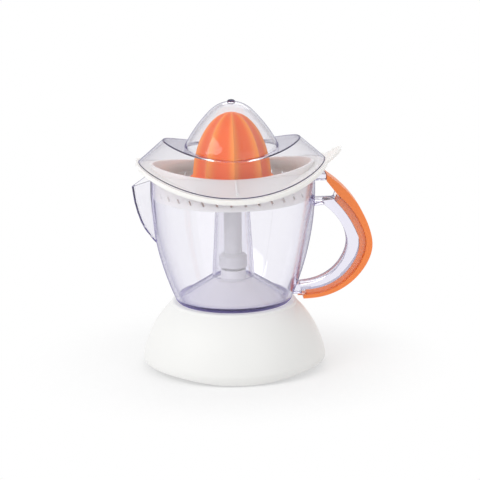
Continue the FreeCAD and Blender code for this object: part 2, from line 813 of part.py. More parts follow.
def stator_core():
    """Laminated U core whose poles close round the rotor."""
    tail = rotor_x + core_pole - core_length
    whole = box("CoreWhole", core_length, core_width, core_stack, tail, rotor_y, core_level)
    window = box("CoreWindow", core_length - core_leg - 2 * core_pole, core_width - 2 * core_leg, core_stack + 2,
                 tail + core_leg, rotor_y, core_level - 1)
    slit = box("CoreSlit", 3 * core_pole, core_slit, core_stack + 2, rotor_x - core_pole - 1, rotor_y, core_level - 1)
    bore = cylinder("CoreBore", rotor_radius + rotor_gap, core_stack + 2, rotor_x, rotor_y, core_level - 1)
    ways = [cylinder("CoreWay%d" % i, screw_radius + slip_gap, core_stack + 2, x, y, core_level - 1)
            for i, (x, y) in enumerate(motor_screw_places())]
    return cut("StatorCore", whole, fuse("CoreCuts", window, slit, bore, *ways))


def coil_block(name, grow, length, leg_y):
    """A block round one leg of the core, grown by an amount all round."""
    tail = rotor_x + core_pole - core_length + core_leg
    start = tail + 1 + (bobbin_length - length) / 2
    return box(name, length, core_leg + 2 * grow, core_stack + 2 * grow, start, leg_y, core_level - grow)


def leg_places():
    offset = core_width / 2 - core_leg / 2
    return [rotor_y - offset, rotor_y + offset]


def coil_bobbins():
    made = []
    flange = 1.2
    for i, y in enumerate(leg_places()):
        ends = coil_block("BobbinEnds%d" % i, bobbin_wall + bobbin_flange - slip_gap, bobbin_length, y)
        waist = cut("BobbinWaist%d" % i, coil_block("WaistOuter%d" % i, 20, bobbin_length - 2 * flange, y),
                    coil_block("WaistInner%d" % i, bobbin_wall, bobbin_length, y))
        spool = cut("BobbinSpool%d" % i, ends, waist)
        made.append(cut("Bobbin%d" % i, spool, coil_block("BobbinWay%d" % i, slip_gap, bobbin_length + 4, y)))
    return group("CoilBobbins", made)


def coil_windings():
    made = []
    for i, y in enumerate(leg_places()):
        length = bobbin_length - 2.4 - 2 * slip_gap
        outer = coil_block("WindingOuter%d" % i, bobbin_wall + bobbin_flange - 0.6, length, y)
        inner = coil_block("WindingInner%d" % i, bobbin_wall, length + 4, y)
        made.append(cut("Winding%d" % i, outer, inner))
    return group("CoilWindings", made)


def motor_bracket():
    """Plate under the poles, with the rotor's lower bearing."""
    low = core_level - bracket_thickness
    strap = box("BracketStrap", 2 * core_pole - 2, core_width, bracket_thickness, rotor_x - core_pole + 2, rotor_y, low)
    bore = cylinder("BracketBore", rotor_shaft_radius + running_gap, 20, rotor_x, rotor_y, low - 5)
    ways = [cylinder("BracketWay%d" % i, screw_radius + slip_gap, 20, x, y, low - 5)
            for i, (x, y) in enumerate(motor_screw_places())]
    return cut("MotorBracket", strap, fuse("BracketCuts", bore, *ways))


def tower_bush():
    """Flanged bearing pressed up into the tower, with a neck that stands into the drive shaft's foot."""
    return turned("TowerBush", [
        (bush_flange, bush_low),
        (bush_flange, bush_low + bush_flange_height),
        (bush_radius, bush_low + bush_flange_height),
        (bush_radius, bush_top),
        (spindle_radius + running_gap, bush_top),
        (spindle_radius + running_gap, bush_low),
    ])


def spindle():
    """Steel spindle: tail over the switch, hexagon in the main gear, shoulder for the spring, hexagon drive."""
    tail = cylinder("SpindleTail", spindle_tail, main_hub_low - spindle_foot, 0, 0, spindle_foot)
    drive = prism("SpindleGrip", spindle_hex, main_hub_top - main_hub_low + press_travel + 1, main_hub_low - 1)
    journal = cylinder("SpindleJournal", spindle_radius, drive_low - main_hub_top - press_travel, 0, 0,
                       main_hub_top + press_travel)
    flange = cylinder("SpindleFlange", shoulder_flange, shoulder_flange_height, 0, 0, shoulder_low)
    top = prism("SpindleTop", spindle_hex, spindle_top - drive_low + 1, drive_low - 1)
    return fuse("Spindle", tail, drive, journal, flange, top)


def return_spring():
    """Coil spring between the main gear's hub and the spindle's shoulder."""
    low = main_hub_top.value + seat_gap.value / 2 + spring_wire.value
    high = shoulder_low.value - seat_gap.value / 2 - spring_wire.value
    turns = int(spring_turns.value)
    quarters = 4 * turns
    radius = spring_radius.value

    def point(quarter):
        angle = quarter * math.pi / 2
        return FreeCAD.Vector(radius * math.cos(angle), radius * math.sin(angle), low + (high - low) * quarter / quarters)

    arcs = [Part.Arc(point(i), point(i + 0.5), point(i + 1)).toShape() for i in range(quarters)]
    path = Part.Wire(arcs)
    start = arcs[0].tangentAt(arcs[0].FirstParameter)
    section = Part.Wire(Part.makeCircle(spring_wire.value, point(0), start))
    pipe = Part.BRepOffsetAPI.MakePipeShell(path)
    pipe.add(section)
    pipe.build()
    pipe.makeSolid()
    print("return spring: gap between turns %.2f mm" % ((high - low) / turns - 2 * spring_wire.value))
    return solid_feature("ReturnSpring", pipe.shape())


def switch_body():
    """Snap switch under the spindle, standing on the cover."""
    case = box("SwitchCase", switch_length, switch_width, switch_height, -switch_length / 2, 0, cover_top)
    well = cylinder("SwitchWell", plunger_radius + running_gap, switch_height, 0, 0,
                    cover_top + switch_height - plunger_depth)
    tabs = [box("SwitchTab%d" % i, 0.8, 4.0, 3.0, x, 0, cover_top + 2.5)
            for i, x in enumerate((-switch_length / 2 - 0.7, switch_length / 2 - 0.1))]
    return cut("SwitchBody", fuse("SwitchWhole", case, *tabs), well)


def switch_plunger():
    low = cover_top + switch_height - plunger_depth + press_travel + seat_gap
    return cylinder("SwitchPlunger", plunger_radius, spindle_foot - seat_gap - low, 0, 0, low)


def jug_mass():
    """The jug's outside, filled to the axis."""
    return [
        (jug_foot_radius - jug_foot_height, jug_level),
        (jug_foot_radius, jug_level + jug_foot_height),
        (jug_radius, jug_straight, jug_bend),
        (jug_radius, rim_level + 30),
        (0, rim_level + 30),
        (0, jug_level),
    ]


def spout_section(name, z, tip, back):
    """One level of the spout: a V with a round tip, pointing to -X."""
    slope = sine(spout_angle) / cosine(spout_angle)
    touch_x = spout_round * (1 - sine(spout_angle)) - tip
    touch_y = spout_round * cosine(spout_angle)
    half = touch_y + (tip - back - spout_round * (1 - sine(spout_angle))) * slope
    sketch = doc.addObject("Sketcher::SketchObject", name)
    draw(sketch, [(-back, -half), (-back, half), (touch_x, touch_y), (touch_x, -touch_y, spout_round)])
    place(sketch, 0, 0, z)
    return sketch


def spout(name, inset):
    """The spout's keel bends out from the wall and rises nearly upright to the lip."""
    height = lip_level + 15 - spout_start
    keel = ((0.0, 24.4), (0.147, 15.4), (0.32, 8.4), (0.59, 2.9), (1.0, 0.0))
    back = jug_radius - 18
    sections = [spout_section("%sSection%d" % (name, i), spout_start + share * height + inset / 2,
                              spout_tip - inset - drop, back)
                for i, (share, drop) in enumerate(keel)]
    return loft(name, sections, ruled=False)


def jug_vessel():
    """Clear vessel: curved wall, V spout, raised floor and the chimney round the drive shaft."""
    mass = turned("JugMass", jug_mass())
    outside = fuse("JugOutside", mass, spout("SpoutOuter", as_size(0)))
    lift = floor_wall * 1.4
    floor_foot = ledge_inner + 1.2
    cavity = turned("JugCavity", [
        (chimney_foot, crown_height + lift + floor_wall),
        (floor_foot, jug_level + lift + floor_wall),
        (jug_foot_radius - jug_wall, jug_level + lift + floor_wall),
        (jug_radius - jug_wall, jug_straight, jug_bend - jug_wall),
        (jug_radius - jug_wall, rim_level + 40),
        (0, rim_level + 40),
        (0, chimney_height),
        (chimney_top, chimney_height),
    ])
    under = turned("JugUnder", [
        (floor_foot, jug_level - 1),
        (floor_foot, jug_level + seat_gap),
        (chimney_foot - chimney_wall, crown_height + lift),
        (chimney_top - chimney_wall, chimney_height + 1),
        (0, chimney_height + 1),
        (0, jug_level - 1),
    ])
    rim_cut = cross_cylinder("JugRimCut", saddle_bend, rim_level + saddle_bend)
    lip_far = spout_tip + 12
    lip_near = jug_radius - 1
    lip_cut = slab("JugLipCut", [
        (-lip_near, lip_level + 60),
        (-lip_far, lip_level + 60),
        (-lip_far, lip_level - 12 * lip_slope),
        (-lip_near, lip_level + (spout_tip - lip_near) * lip_slope),
    ], 120)
    hollow = fuse("JugHollow", cavity, spout("SpoutInner", jug_wall * 1.2), under, rim_cut, lip_cut)
    return cut("JugVessel", outside, hollow)


def foot_part(name):
    """The space below the jug's wall: the foot and the raised floor."""
    return cylinder(name, spout_tip + 12, foot_part_top - jug_level + 10, 0, 0, jug_level - 10)


def chimney_part(name):
    """The space round the chimney, above the raised floor."""
    return cylinder(name, chimney_part_radius, chimney_height - foot_part_top + 5, 0, 0, foot_part_top)


def spout_part(name):
    """The space in front of the wall that holds the spout's V."""
    return box(name, 40, 2 * jug_radius, 120, -spout_part_back - 40, 0, foot_part_top)


def jug():
    """The jug's wall above its foot, with the lug that carries the grip's top."""
    rest = fuse("WallRest", foot_part("WallFoot"), chimney_part("WallChimney"), spout_part("WallSpout"))
    block = box("JugLugBlock", lug_length, lug_width, lug_height, lug_back, 0, lug_level)
    lug = cut("JugLug", block, turned("LugTrim", jug_mass()))
    return fuse("Jug", cut("JugWall", vessel, rest), lug)


def jug_foot():
    return common("JugFoot", vessel, foot_part("FootRoom"))


def jug_chimney():
    return common("JugChimney", vessel, chimney_part("ChimneyRoom"))


def jug_spout():
    return common("JugSpout", vessel, spout_part("SpoutRoom"))


def step_edge():
    """Edge where the clear frame meets the grip's band, from the foot up to the lug."""
    return [
        (handle_low_x, handle_low_z),
        (handle_apex_x, handle_apex_z, handle_low_bend),
        (handle_top_x, handle_top_z, handle_top_bend),
    ]


def web_edge():
    """Bottom of the frame's channel, from the foot up to the lug."""
    return [
        (handle_low_x + web_low, handle_low_z + web_low),
        (handle_apex_x - web_side, handle_apex_z, web_low_bend),
        (handle_top_x - web_low / 2, handle_top_z - web_side, web_top_bend),
    ]


def swelled(edge):
    """An edge moved outwards by a clearance, by growing it about a point inside the handle's loop."""
    middle_x = (handle_low_x + hand_top_x) / 2
    middle_z = (handle_low_z + handle_top_z) / 2
    moved = []
    for point in edge:
        x = middle_x + (point[0] - middle_x) * grip_swell
        z = middle_z + (point[1] - middle_z) * grip_swell
        moved.append((x, z) + tuple(bend * grip_swell for bend in point[2:]))
    return moved


def backwards(edge):
    """The same edge walked from its end to its start, so that its bends swell inwards."""
    bends = [point[2:] for point in edge]
    turned_back = [edge[-1][:2]]
    for i in range(len(edge) - 1, 0, -1):
        turned_back.append(edge[i - 1][:2] + tuple(-bend for bend in bends[i]))
    return turned_back


def handle_frame():
    """Clear curved channel moulded to the jug's wall, open outwards for the grip."""
    wall_x = jug_foot_radius - 1
    lug_x = jug_radius - 7
    lug_low = hand_top_z - 1.5
    frame = slab("FrameSlab", [(wall_x, handle_low_z)] + step_edge() + [
        (handle_top_x - 2, handle_top_z - 5),
        (lug_x, handle_top_z - 5),
        (lug_x, lug_low),
        (hand_top_x, hand_top_z),
        (hand_side_x, handle_apex_z, -hand_top_bend),
        (hand_low_x, hand_low_z, -hand_low_bend),
        (wall_x, hand_low_z - 1),
    ], frame_width)
    rounded(frame, handle_apex_x, handle_apex_z, handle_round)
    rounded(frame, hand_side_x, handle_apex_z, hand_round)
    web = web_edge()
    channel = slab("FrameChannel", [
        (web[0][0], handle_low_z - 5),
        (grip_apex_x + 6, handle_low_z - 5),
        (grip_apex_x + 6, handle_top_z + 8),
        (handle_top_x + 1, handle_top_z + 8),
    ] + backwards(web), frame_width - 2 * channel_wall)
    rounded(channel, web[1][0], web[1][1], handle_round)
    trimmed = cut("FrameTrimmed", frame, turned("FrameTrim", jug_mass()))
    return cut("HandleFrame", trimmed, channel)


def loop_filler(name, edge):
    """A wide block that fills the handle's loop up to an edge, to cut the grip back to it."""
    loop_x = handle_low_x - 4
    block = slab(name, [(loop_x, edge[0][1])] + edge + [
        (handle_top_x - 6, handle_top_z + 8),
        (loop_x, handle_top_z + 8),
    ], 2 * grip_width)
    return rounded(block, edge[1][0], edge[1][1], handle_round * grip_swell)


def handle_grip():
    """Soft grip: a wide outer band with a tongue that sits in the frame's channel."""
    blank = slab("GripBlank", [
        (grip_low_x, grip_low_z),
        (grip_apex_x, grip_apex_z, grip_low_bend),
        (grip_top_x, grip_top_z, grip_top_bend),
        (grip_top_x, grip_top_z - 6),
        (hand_side_x, handle_apex_z),
        (grip_low_x, handle_low_z + 8),
    ], grip_width)
    rounded(blank, grip_apex_x, grip_apex_z, grip_round)
    step = swelled(step_edge())
    band = cut("GripBand", blank, loop_filler("BandRoom", step))
    web = swelled(web_edge())
    groove = loop_filler("TongueRoom", web)
    flank = slab("TongueBlank", [
        (web[0][0] + 1, grip_low_z + 1),
        (grip_apex_x - 3, grip_apex_z, grip_low_bend),
        (handle_top_x + 2, handle_top_z + 2, grip_top_bend),
        (hand_side_x, handle_apex_z),
        (web[0][0] + 1, handle_low_z + 8),
    ], frame_width - 2 * channel_wall - 2 * slip_gap)
    tongue_part = cut("GripTongue", flank, groove)
    return fuse("HandleGrip", band, tongue_part)


def whole_bowl():
    """White bowl: saddle flange, sloped apron to an oval mouth, drain ring, slotted floor and lift tongue."""
    low_face = cross_cylinder("FlangeUnder", saddle_bend, flange_axis)
    top_face = cross_cylinder("FlangeOver", saddle_bend, flange_axis + flange_thickness)
    mouth_face = cross_cylinder("MouthOver", mouth_bend, mouth_level + mouth_bend)
    flange_ring = loft("FlangeMass", [
        ellipse("FlangeLow", flange_length, flange_depth, flange_level - 20),
        ellipse("FlangeHigh", flange_length, flange_depth, flange_level + 40),
    ])
    flange = cut("FlangePlate", flange_ring, top_face)
    apron_level = flange_level + flange_thickness - 0.5
    slope = (apron_depth - mouth_depth) / (mouth_level - apron_level)
    apron = cut("ApronMass", loft("ApronLoft", [
        ellipse("ApronLow", apron_length + 4, apron_depth + 4 * slope, apron_level - 4),
        ellipse("ApronMid", mouth_length, mouth_depth, mouth_level),
        ellipse("ApronHigh", mouth_length - 0.5, mouth_depth - 4, mouth_level + 16),
    ]), mouth_face)
    brim = common("BrimMass", fuse("BrimWhole", flange, apron), low_face, flange_ring)
    inside_radius = drain_radius - bowl_wall
    room = fuse("BowlRoom",
                cylinder("RoomLow", inside_radius, apron_level - floor_top - 1, 0, 0, floor_top),
                loft("RoomHigh", [
                    ellipse("RoomFoot", inside_radius, inside_radius - 0.1, apron_level - 2),
                    ellipse("RoomMid", mouth_length - bowl_wall, mouth_depth - bowl_wall, mouth_level),
                    ellipse("RoomTop", mouth_length - bowl_wall - 0.5, mouth_depth - bowl_wall - 4, mouth_level + 17),
                ]))
    ring_height = flange_level + 30 - drain_level
    ring = cut("DrainTop", cylinder("DrainMass", drain_radius, ring_height, 0, 0, drain_level), top_face)
    under = cylinder("DrainUnder", inside_radius, floor_level - drain_level + 1, 0, 0, drain_level - 1)
    roomy = cut("BowlRoomy", fuse("BowlMass", brim, ring, tongue()), room)
    shell = cut("BowlShell", roomy, under)
    collar = cylinder("BowlCollar", turn_bush_radius + running_gap + collar_wall, collar_height - drain_level, 0, 0,
                      drain_level)
    front = apron_depth - rib_end
    rib = common("FrontRib", slab_across("RibSlab", [
        (-front, apron_level - 1),
        (-mouth_depth - 2, apron_level - 1),
        (-mouth_depth - 1, mouth_level + 0.3),
        (-front, apron_level + rib_end / slope + rib_height),
    ], rib_width), cross_cylinder("RibTrim", saddle_bend, flange_axis + 2))
    holes = [cylinder("CollarBore", turn_bush_radius + running_gap, 60, 0, 0, drain_level - 20)]
    holes.append(pattern("FloorSlots", slot_count, slot_block))
    holes.append(pattern("DrainVents", vent_count, vent_block))
    return cut("WholeBowl", fuse("BowlWhole", shell, collar, rib), fuse("BowlCuts", *holes))


def floor_part(name):
    """The space inside the drain ring that holds the slotted floor and its collar."""
    disc = cylinder(name + "Disc", drain_radius - bowl_wall, floor_top - drain_level + 10, 0, 0, drain_level - 10)
    post = cylinder(name + "Post", turn_bush_radius + 2 * collar_wall, collar_height - drain_level, 0, 0,
                    drain_level + 1)
    return fuse(name, disc, post)


def strainer_bowl():
    return cut("StrainerBowl", bowl_moulding, floor_part("ShellFloor"))


def bowl_floor_grid():
    return common("BowlFloorGrid", bowl_moulding, floor_part("GridRoom"))


def slab_across(name, points, width):
    """A body of even width about the YZ plane, from (y, z) points."""
    body = doc.addObject("PartDesign::Body", name)
    sketch = sketch_in(body, name + "Outline", "YZ_Plane", points)
    feature = body.newObject("PartDesign::Pad", name + "Pad")
    feature.Profile = sketch
    feature.Midplane = True
    bind(feature, Length=width)
    return body


def pattern(name, count, make):
    """Copies of one cutter on a ring about the main axis."""
    doc.recompute()
    step = 360.0 / int(count.value)
    copies = []
    for i in range(int(count.value)):
        copy = make().copy()
        copy.rotate(FreeCAD.Vector(), FreeCAD.Vector(0, 0, 1), (i + 0.5) * step)
        copies.append(copy)
    return solid_feature(name, Part.makeCompound(copies))


def slot_block():
    """Radial slot through the floor."""
    start = FreeCAD.Vector(slot_inner.value, -slot_width.value / 2, floor_level.value - 1)
    return Part.makeBox(slot_outer.value - slot_inner.value, slot_width.value, bowl_floor.value + 2, start)


def vent_block():
    """Leaning slot through the drain ring."""
    start = FreeCAD.Vector(drain_radius.value - 2 * bowl_wall.value, -vent_width.value / 2, 0)
    block = Part.makeBox(4 * bowl_wall.value, vent_width.value, vent_height.value, start)
    block.rotate(FreeCAD.Vector(), FreeCAD.Vector(1, 0, 0), vent_lean.value)
    block.translate(FreeCAD.Vector(0, 0, floor_top.value + 0.2))
    return block


def tongue():
    """Lift tab that runs up and outwards from the flange's end, outside the lid's foot."""
    root_x = flange_length - tongue_root
    run = tongue_reach - root_x
    rise = run * sine(tongue_tilt) / cosine(tongue_tilt)
    root_z = flange_axis - root(saddle_bend * saddle_bend - root_x * root_x)
    start_z = flange_axis - root(saddle_bend * saddle_bend - tongue_start * tongue_start) + flange_thickness
    side = slab("TongueSide", [
        (root_x, root_z),
        (root_x + run, root_z + rise),
        (root_x + run, root_z + rise + tongue_thickness),
        (tongue_start, start_z),
        (root_x, root_z + flange_thickness * 0.9),
    ], tongue_width)
    nose = plate("TongueNose", [
        (root_x - 2, -tongue_width / 2),
        (tongue_reach - tongue_width / 2, -tongue_width / 2),
        (tongue_reach - tongue_width / 2, tongue_width / 2, tongue_width / 2 + 0.001),
        (root_x - 2, tongue_width / 2),
    ], 80, root_z - 20)
    return common("Tongue", side, nose)


def cone_wire(z, radius):
    """One level of the cone: sharp ribs joined by hollow flutes."""
    ribs = int(cone_ribs.value)
    step = 2 * math.pi / ribs
    start = -math.pi / 2
    edges = []
    for i in range(ribs):
        places = []
        for share, reach in ((0.0, radius), (0.5, radius * cone_valley.value), (1.0, radius)):
            angle = start + (i + share) * step
            places.append(FreeCAD.Vector(reach * math.cos(angle), reach * math.sin(angle), z))
        edges.append(Part.Arc(*places).toShape())
    return Part.Wire(edges)


def cone():
    """Pressing cone: an egg-shaped shell with sharp ribs, a foot flange and a hexagon socket inside."""
    levels = (0.035, 0.2, 0.4, 0.57, 0.71, 0.82, 0.9, 0.955, 0.985)
    wires = [cone_wire(cone_level.value + share * cone_height.value,
                       cone_radius.value * math.sqrt(1 - share * share)) for share in levels]
    ribbed = solid_feature("ConeRibbed", Part.makeLoft(wires, True, False))
    foot = cylinder("ConeFoot", cone_flange, cone_flange_height, 0, 0, cone_level)
    inner_radius = cone_radius * cone_valley - cone_wall / 2
    peak = cone_level + cone_height
    hollow = turned("ConeHollow", [
        (0, cone_level - 1),
        (inner_radius, cone_level - 1),
        (inner_radius * 0.9, cone_level + cone_height * 0.4),
        (inner_radius * 0.62, cone_level + cone_height * 0.68),
        (0, peak - 3 * cone_wall),
    ])
    shell = cut("ConeShell", fuse("ConeMass", ribbed, foot), hollow)
    socket = cylinder("ConeSocket", socket_radius, cone_height * 0.62, 0, 0, cone_level + cone_height * 0.2)
    socket_top = shaft_top + seat_gap
    way = prism("ConeWay", shaft_hex + 2 * slip_gap, socket_top - cone_level + 5, cone_level - 5)
    return cut("Cone", fuse("ConeWhole", shell, socket), way)


def drive_shaft():
    """Long shaft in the chimney, with a wide socket collar at its foot and a hexagon for bush and cone."""
    chamfer = 1.2
    body = turned("ShaftBody", [
        (shaft_collar, collar_level),
        (shaft_collar, collar_level + shaft_collar_height - chamfer),
        (shaft_collar - chamfer, collar_level + shaft_collar_height),
        (shaft_radius, collar_level + shaft_collar_height + chamfer),
        (shaft_radius, shaft_shoulder),
        (0, shaft_shoulder),
        (0, collar_level),
    ])
    top = prism("ShaftTop", shaft_hex, shaft_top - shaft_shoulder + 1, shaft_shoulder - 1)
    socket = prism("ShaftSocket", spindle_hex + 2 * slip_gap, spindle_top + seat_gap - collar_level + 5,
                   collar_level - 5)
    relief = cylinder("ShaftRelief", bush_radius + 2 * seat_gap, bush_top + press_travel + seat_gap - collar_level + 5,
                      0, 0, collar_level - 5)
    return cut("DriveShaft", fuse("ShaftWhole", body, top), fuse("ShaftCuts", socket, relief))


def shaft_bush():
    """Bush that turns with the shaft in the bowl's collar and keeps juice out of it."""
    low = drain_level + seat_gap
    flange_low = collar_height + seat_gap
    body = cylinder("TurnBushBody", turn_bush_radius, flange_low - low + 1, 0, 0, low)
    flange = cylinder("TurnBushFlange", turn_bush_flange, turn_bush_flange_height, 0, 0, flange_low)
    way = prism("TurnBushWay", shaft_hex + 2 * slip_gap, 60, low - 20)
    return cut("ShaftBush", fuse("TurnBushWhole", body, flange), way)


def dome_outline(inset):
    """Half outline of the lid's dome: a round crown that runs into long sides, inset by a wall."""
    crown = dome_crown - inset
    half = root(as_size(0.5))
    centre = dome_top - dome_crown
    joint_x = crown * half
    joint_z = centre + crown * half
    middle_x = (dome_side - dome_crown) * half
    middle_z = centre - middle_x
    foot = dome_foot - inset
    side = dome_side - inset
    foot_z = middle_z + root(side * side - (foot + middle_x) * (foot + middle_x))
    return [
        (0, valley_level - 4),
        (foot, valley_level - 4),
        (foot, foot_z),
        (joint_x, joint_z, side),
        (0, centre + crown, crown),
    ]


def lid_skirt(name, inset):
    """The lid's flared skirt: an oval cone from above its ridge to below its foot."""
    return loft(name, [
        ellipse(name + "Foot", lid_foot_length - inset, lid_foot_depth - inset, lid_low),
        ellipse(name + "Ridge", lid_ridge_length - inset, lid_ridge_depth - inset, lid_high),
    ])


def lid():
    """Clear lid: flared skirt, top bent up at both sides, and a dome over the cone."""
    valley_axis = valley_level + valley_bend
    foot_face = cross_cylinder("LidFootFace", saddle_bend, flange_axis + flange_thickness + seat_gap)
    skirt = common("LidSkirt", lid_skirt("LidSkirtOuter", as_size(0)), foot_face)
    capped = cut("LidCapped", skirt, cross_cylinder("LidValley", valley_bend, valley_axis))
    dome = turned("LidDome", dome_outline(as_size(0)))
    knob = cylinder("LidKnob", knob_radius, knob_height + 1, 0, 0, dome_top - 1)
    outside = fuse("LidOutside", capped, dome, knob)
    room = cut("LidRoom", lid_skirt("LidSkirtInner", lid_wall * 1.4),
               cross_cylinder("LidRoof", valley_bend + lid_wall, valley_axis))
    attic = turned("LidAttic", dome_outline(lid_wall))
    return cut("Lid", outside, fuse("LidHollow", room, attic))


# Mouldings that are shared out over several nodes
vessel = jug_vessel()
bowl_moulding = whole_bowl()

NODES = {
    "base_housing": base_housing,
    "bottom_cover": bottom_cover,
    "rubber_foot": rubber_foot,
    "cover_screws": lambda: screws("CoverScrews", cover_places(), cover_level, cover_thickness + screw_bite - 1),
    "cord_gland": cord_gland,
    "gear_chassis": gear_chassis,
    "chassis_screws": lambda: screws("ChassisScrews", chassis_places(), chassis_level,
                                     chassis_thickness + screw_bite - 1),
    "idler_axle": idler_axle,
    "axle_clip": axle_clip,
    "main_gear": main_gear,
    "compound_gear": compound_gear,
    "motor_pinion": motor_pinion,
    "rotor_shaft": rotor_shaft,
    "rotor_magnet": rotor_magnet,
    "stator_core": stator_core,
    "coil_bobbins": coil_bobbins,
    "coil_windings": coil_windings,
    "motor_bracket": motor_bracket,
    "motor_screws": lambda: screws("MotorScrews", motor_screw_places(), core_level - bracket_thickness,
                                   bracket_thickness + core_stack + 3),
    "tower_bush": tower_bush,
    "spindle": spindle,
    "return_spring": return_spring,
    "switch_body": switch_body,
    "switch_plunger": switch_plunger,
    "jug": jug,
    "jug_foot": jug_foot,
    "jug_chimney": jug_chimney,
    "jug_spout": jug_spout,
    "handle_frame": handle_frame,
    "handle_grip": handle_grip,
    "strainer_bowl": strainer_bowl,
    "bowl_floor": bowl_floor_grid,
    "shaft_bush": shaft_bush,
    "drive_shaft": drive_shaft,
    "cone": cone,
    "lid": lid,
}

parts = {}
for label, make in NODES.items():
    parts[label] = make()
    parts[label].Label = label
doc.recompute()

for item in doc.Objects:
    if "Invalid" in item.State or "Error" in item.State:
        raise RuntimeError("%s failed: %s" % (item.Name, item.State))
for label, item in parts.items():
    if item.Shape.isNull() or not item.Shape.isValid():
        raise RuntimeError("%s has no valid shape" % label)

os.makedirs("parts", exist_ok=True)
for label, item in parts.items():
    item.Shape.exportStep("parts/%s.step" % label)
    print("%-16s %2d solids, %9.1f mm3" % (label, len(item.Shape.Solids), item.Shape.Volume))
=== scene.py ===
"""Looks for a citrus press: white motor base, clear jug, strainer bowl, ribbed cone, clear lid and orange grip."""

import json
import math

import bpy
from mathutils import Euler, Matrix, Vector

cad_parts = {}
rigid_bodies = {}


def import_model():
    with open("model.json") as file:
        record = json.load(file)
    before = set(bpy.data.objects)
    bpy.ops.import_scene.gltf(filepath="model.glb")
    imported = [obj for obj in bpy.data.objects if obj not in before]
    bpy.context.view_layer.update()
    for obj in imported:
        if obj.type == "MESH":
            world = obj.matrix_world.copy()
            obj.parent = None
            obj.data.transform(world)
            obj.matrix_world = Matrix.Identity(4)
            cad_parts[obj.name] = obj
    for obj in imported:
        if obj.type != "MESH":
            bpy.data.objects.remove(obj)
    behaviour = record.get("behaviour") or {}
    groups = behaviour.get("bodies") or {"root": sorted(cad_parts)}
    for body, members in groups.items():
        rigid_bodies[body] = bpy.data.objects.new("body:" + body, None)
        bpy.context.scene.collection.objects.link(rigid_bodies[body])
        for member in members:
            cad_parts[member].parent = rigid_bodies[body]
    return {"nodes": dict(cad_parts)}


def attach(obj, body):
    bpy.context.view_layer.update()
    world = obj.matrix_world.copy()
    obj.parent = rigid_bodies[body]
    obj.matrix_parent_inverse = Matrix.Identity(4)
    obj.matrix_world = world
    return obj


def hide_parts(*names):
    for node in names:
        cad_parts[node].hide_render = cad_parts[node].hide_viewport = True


bl_info = {
    "name": "Citrus press",
    "version": (1, 0, 0),
    "blender": (4, 5, 0),
    "location": "View3D > Sidebar > Citrus press",
    "description": "Models the outer pieces of a citrus press round its CAD frame and gives every piece its finish",
    "category": "Object",
}

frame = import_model()
MM = 0.001
ROUND = 192
RIM_SADDLE = 185.0
JUG_FOOT = (51.0, 59.7)
JUG_SHOULDER = 157.0
JUG_BEND = 253.0
SEEN_RAYS = ("Is Camera Ray", "Is Transmission Ray", "Is Glossy Ray")


def length(name, description, default):
    """A size in metres, given in millimetres."""
    return bpy.props.FloatProperty(name=name, description=description, default=default * MM, unit="LENGTH")


def colour(name, description, default):
    return bpy.props.FloatVectorProperty(name=name, description=description, default=default, size=3, subtype="COLOR",
                                         min=0.0, max=1.0)


def linear(code):
    """A colour written as six hex digits, in the scene's linear light."""
    shares = [int(code[i:i + 2], 16) / 255 for i in (0, 2, 4)]
    return tuple(s / 12.92 if s <= 0.04045 else ((s + 0.055) / 1.055) ** 2.4 for s in shares)


class BaseLook(bpy.types.PropertyGroup):
    """Motor base."""
    radius: length("Radius", "Widest part of the skirt", 80.5)
    ledge: length("Ledge", "Height of the ledge that the jug stands on", 57.8)
    wall: length("Wall", "Thickness of the moulding", 2.5)
    white: colour("White", "Moulded white plastic", linear("f1f1ef"))


class JugLook(bpy.types.PropertyGroup):
    """Clear jug and its handle."""
    radius: length("Radius", "Outside of the jug at its rim", 72.6)
    wall: length("Wall", "Thickness of the clear wall", 2.0)
    spout: length("Spout", "Reach of the spout's tip from the axis", 88.9)
    grip_width: length("Grip width", "Width of the orange grip", 21.0)
    clear: colour("Clear", "Tint that light takes through the clear plastic", linear("b9b0e6"))
    # Painted shade: the violet diffuse mixed into the clear plastic at its grazing edges and thick foot.
    edge: colour("Edge", "Violet of the clear plastic's edges", linear("766ca6"))
    orange: colour("Orange", "Soft orange of the grip", linear("ff8f49"))


class BowlLook(bpy.types.PropertyGroup):
    """Strainer bowl."""
    length: length("Length", "Half the flange's length, from spout to handle", 84.0)
    depth: length("Depth", "Half the flange's depth, from front to back", 77.0)
    saddle: length("Saddle", "Bend of the rim, up at both sides", 185.0)
    white: colour("White", "Moulded off-white plastic", linear("efeeea"))


class ConeLook(bpy.types.PropertyGroup):
    """Pressing cone."""
    radius: length("Radius", "Reach of the ribs at the cone's foot", 34.3)
    height: length("Height", "Height of the cone's egg shape", 60.0)
    orange: colour("Orange", "Orange of the hollows", linear("f8640e"))
    # Painted highlight: the pale orange that the cone's colour runs to along the rib crests.
    light: colour("Light orange", "Orange along the ribs", linear("ff9a3c"))


class LidLook(bpy.types.PropertyGroup):
    """Clear lid."""
    wall: length("Wall", "Thickness of the clear wall", 1.8)
    valley: length("Valley", "Bend of the lid's top, up at both sides", 156.0)
    top: length("Top", "Height of the dome", 235.5)
    clear: colour("Clear", "Tint that light takes through the lid", linear("b9b4d8"))
    # Painted shade: the violet diffuse mixed into the lid at its grazing edges.
    edge: colour("Edge", "Violet of the lid's edges", linear("6a6590"))


class StageLook(bpy.types.PropertyGroup):
    """Camera, floor and light."""
    azimuth: bpy.props.FloatProperty(name="Azimuth", description="Turn of the camera round the press", default=-4.0)
    elevation: bpy.props.FloatProperty(name="Elevation", description="Camera's angle over the table", default=14.0)
    roll: bpy.props.FloatProperty(name="Roll", description="Lean of the camera", default=-0.8)
    width: length("Frame width", "Width of the picture at the press", 422.4)


def clear_selection():
    """Object mode, with nothing selected."""
    if bpy.context.mode != "OBJECT":
        bpy.ops.object.mode_set(mode="OBJECT")
    bpy.ops.object.select_all(action="DESELECT")


def activate(piece):
    clear_selection()
    piece.select_set(True)
    bpy.context.view_layer.objects.active = piece


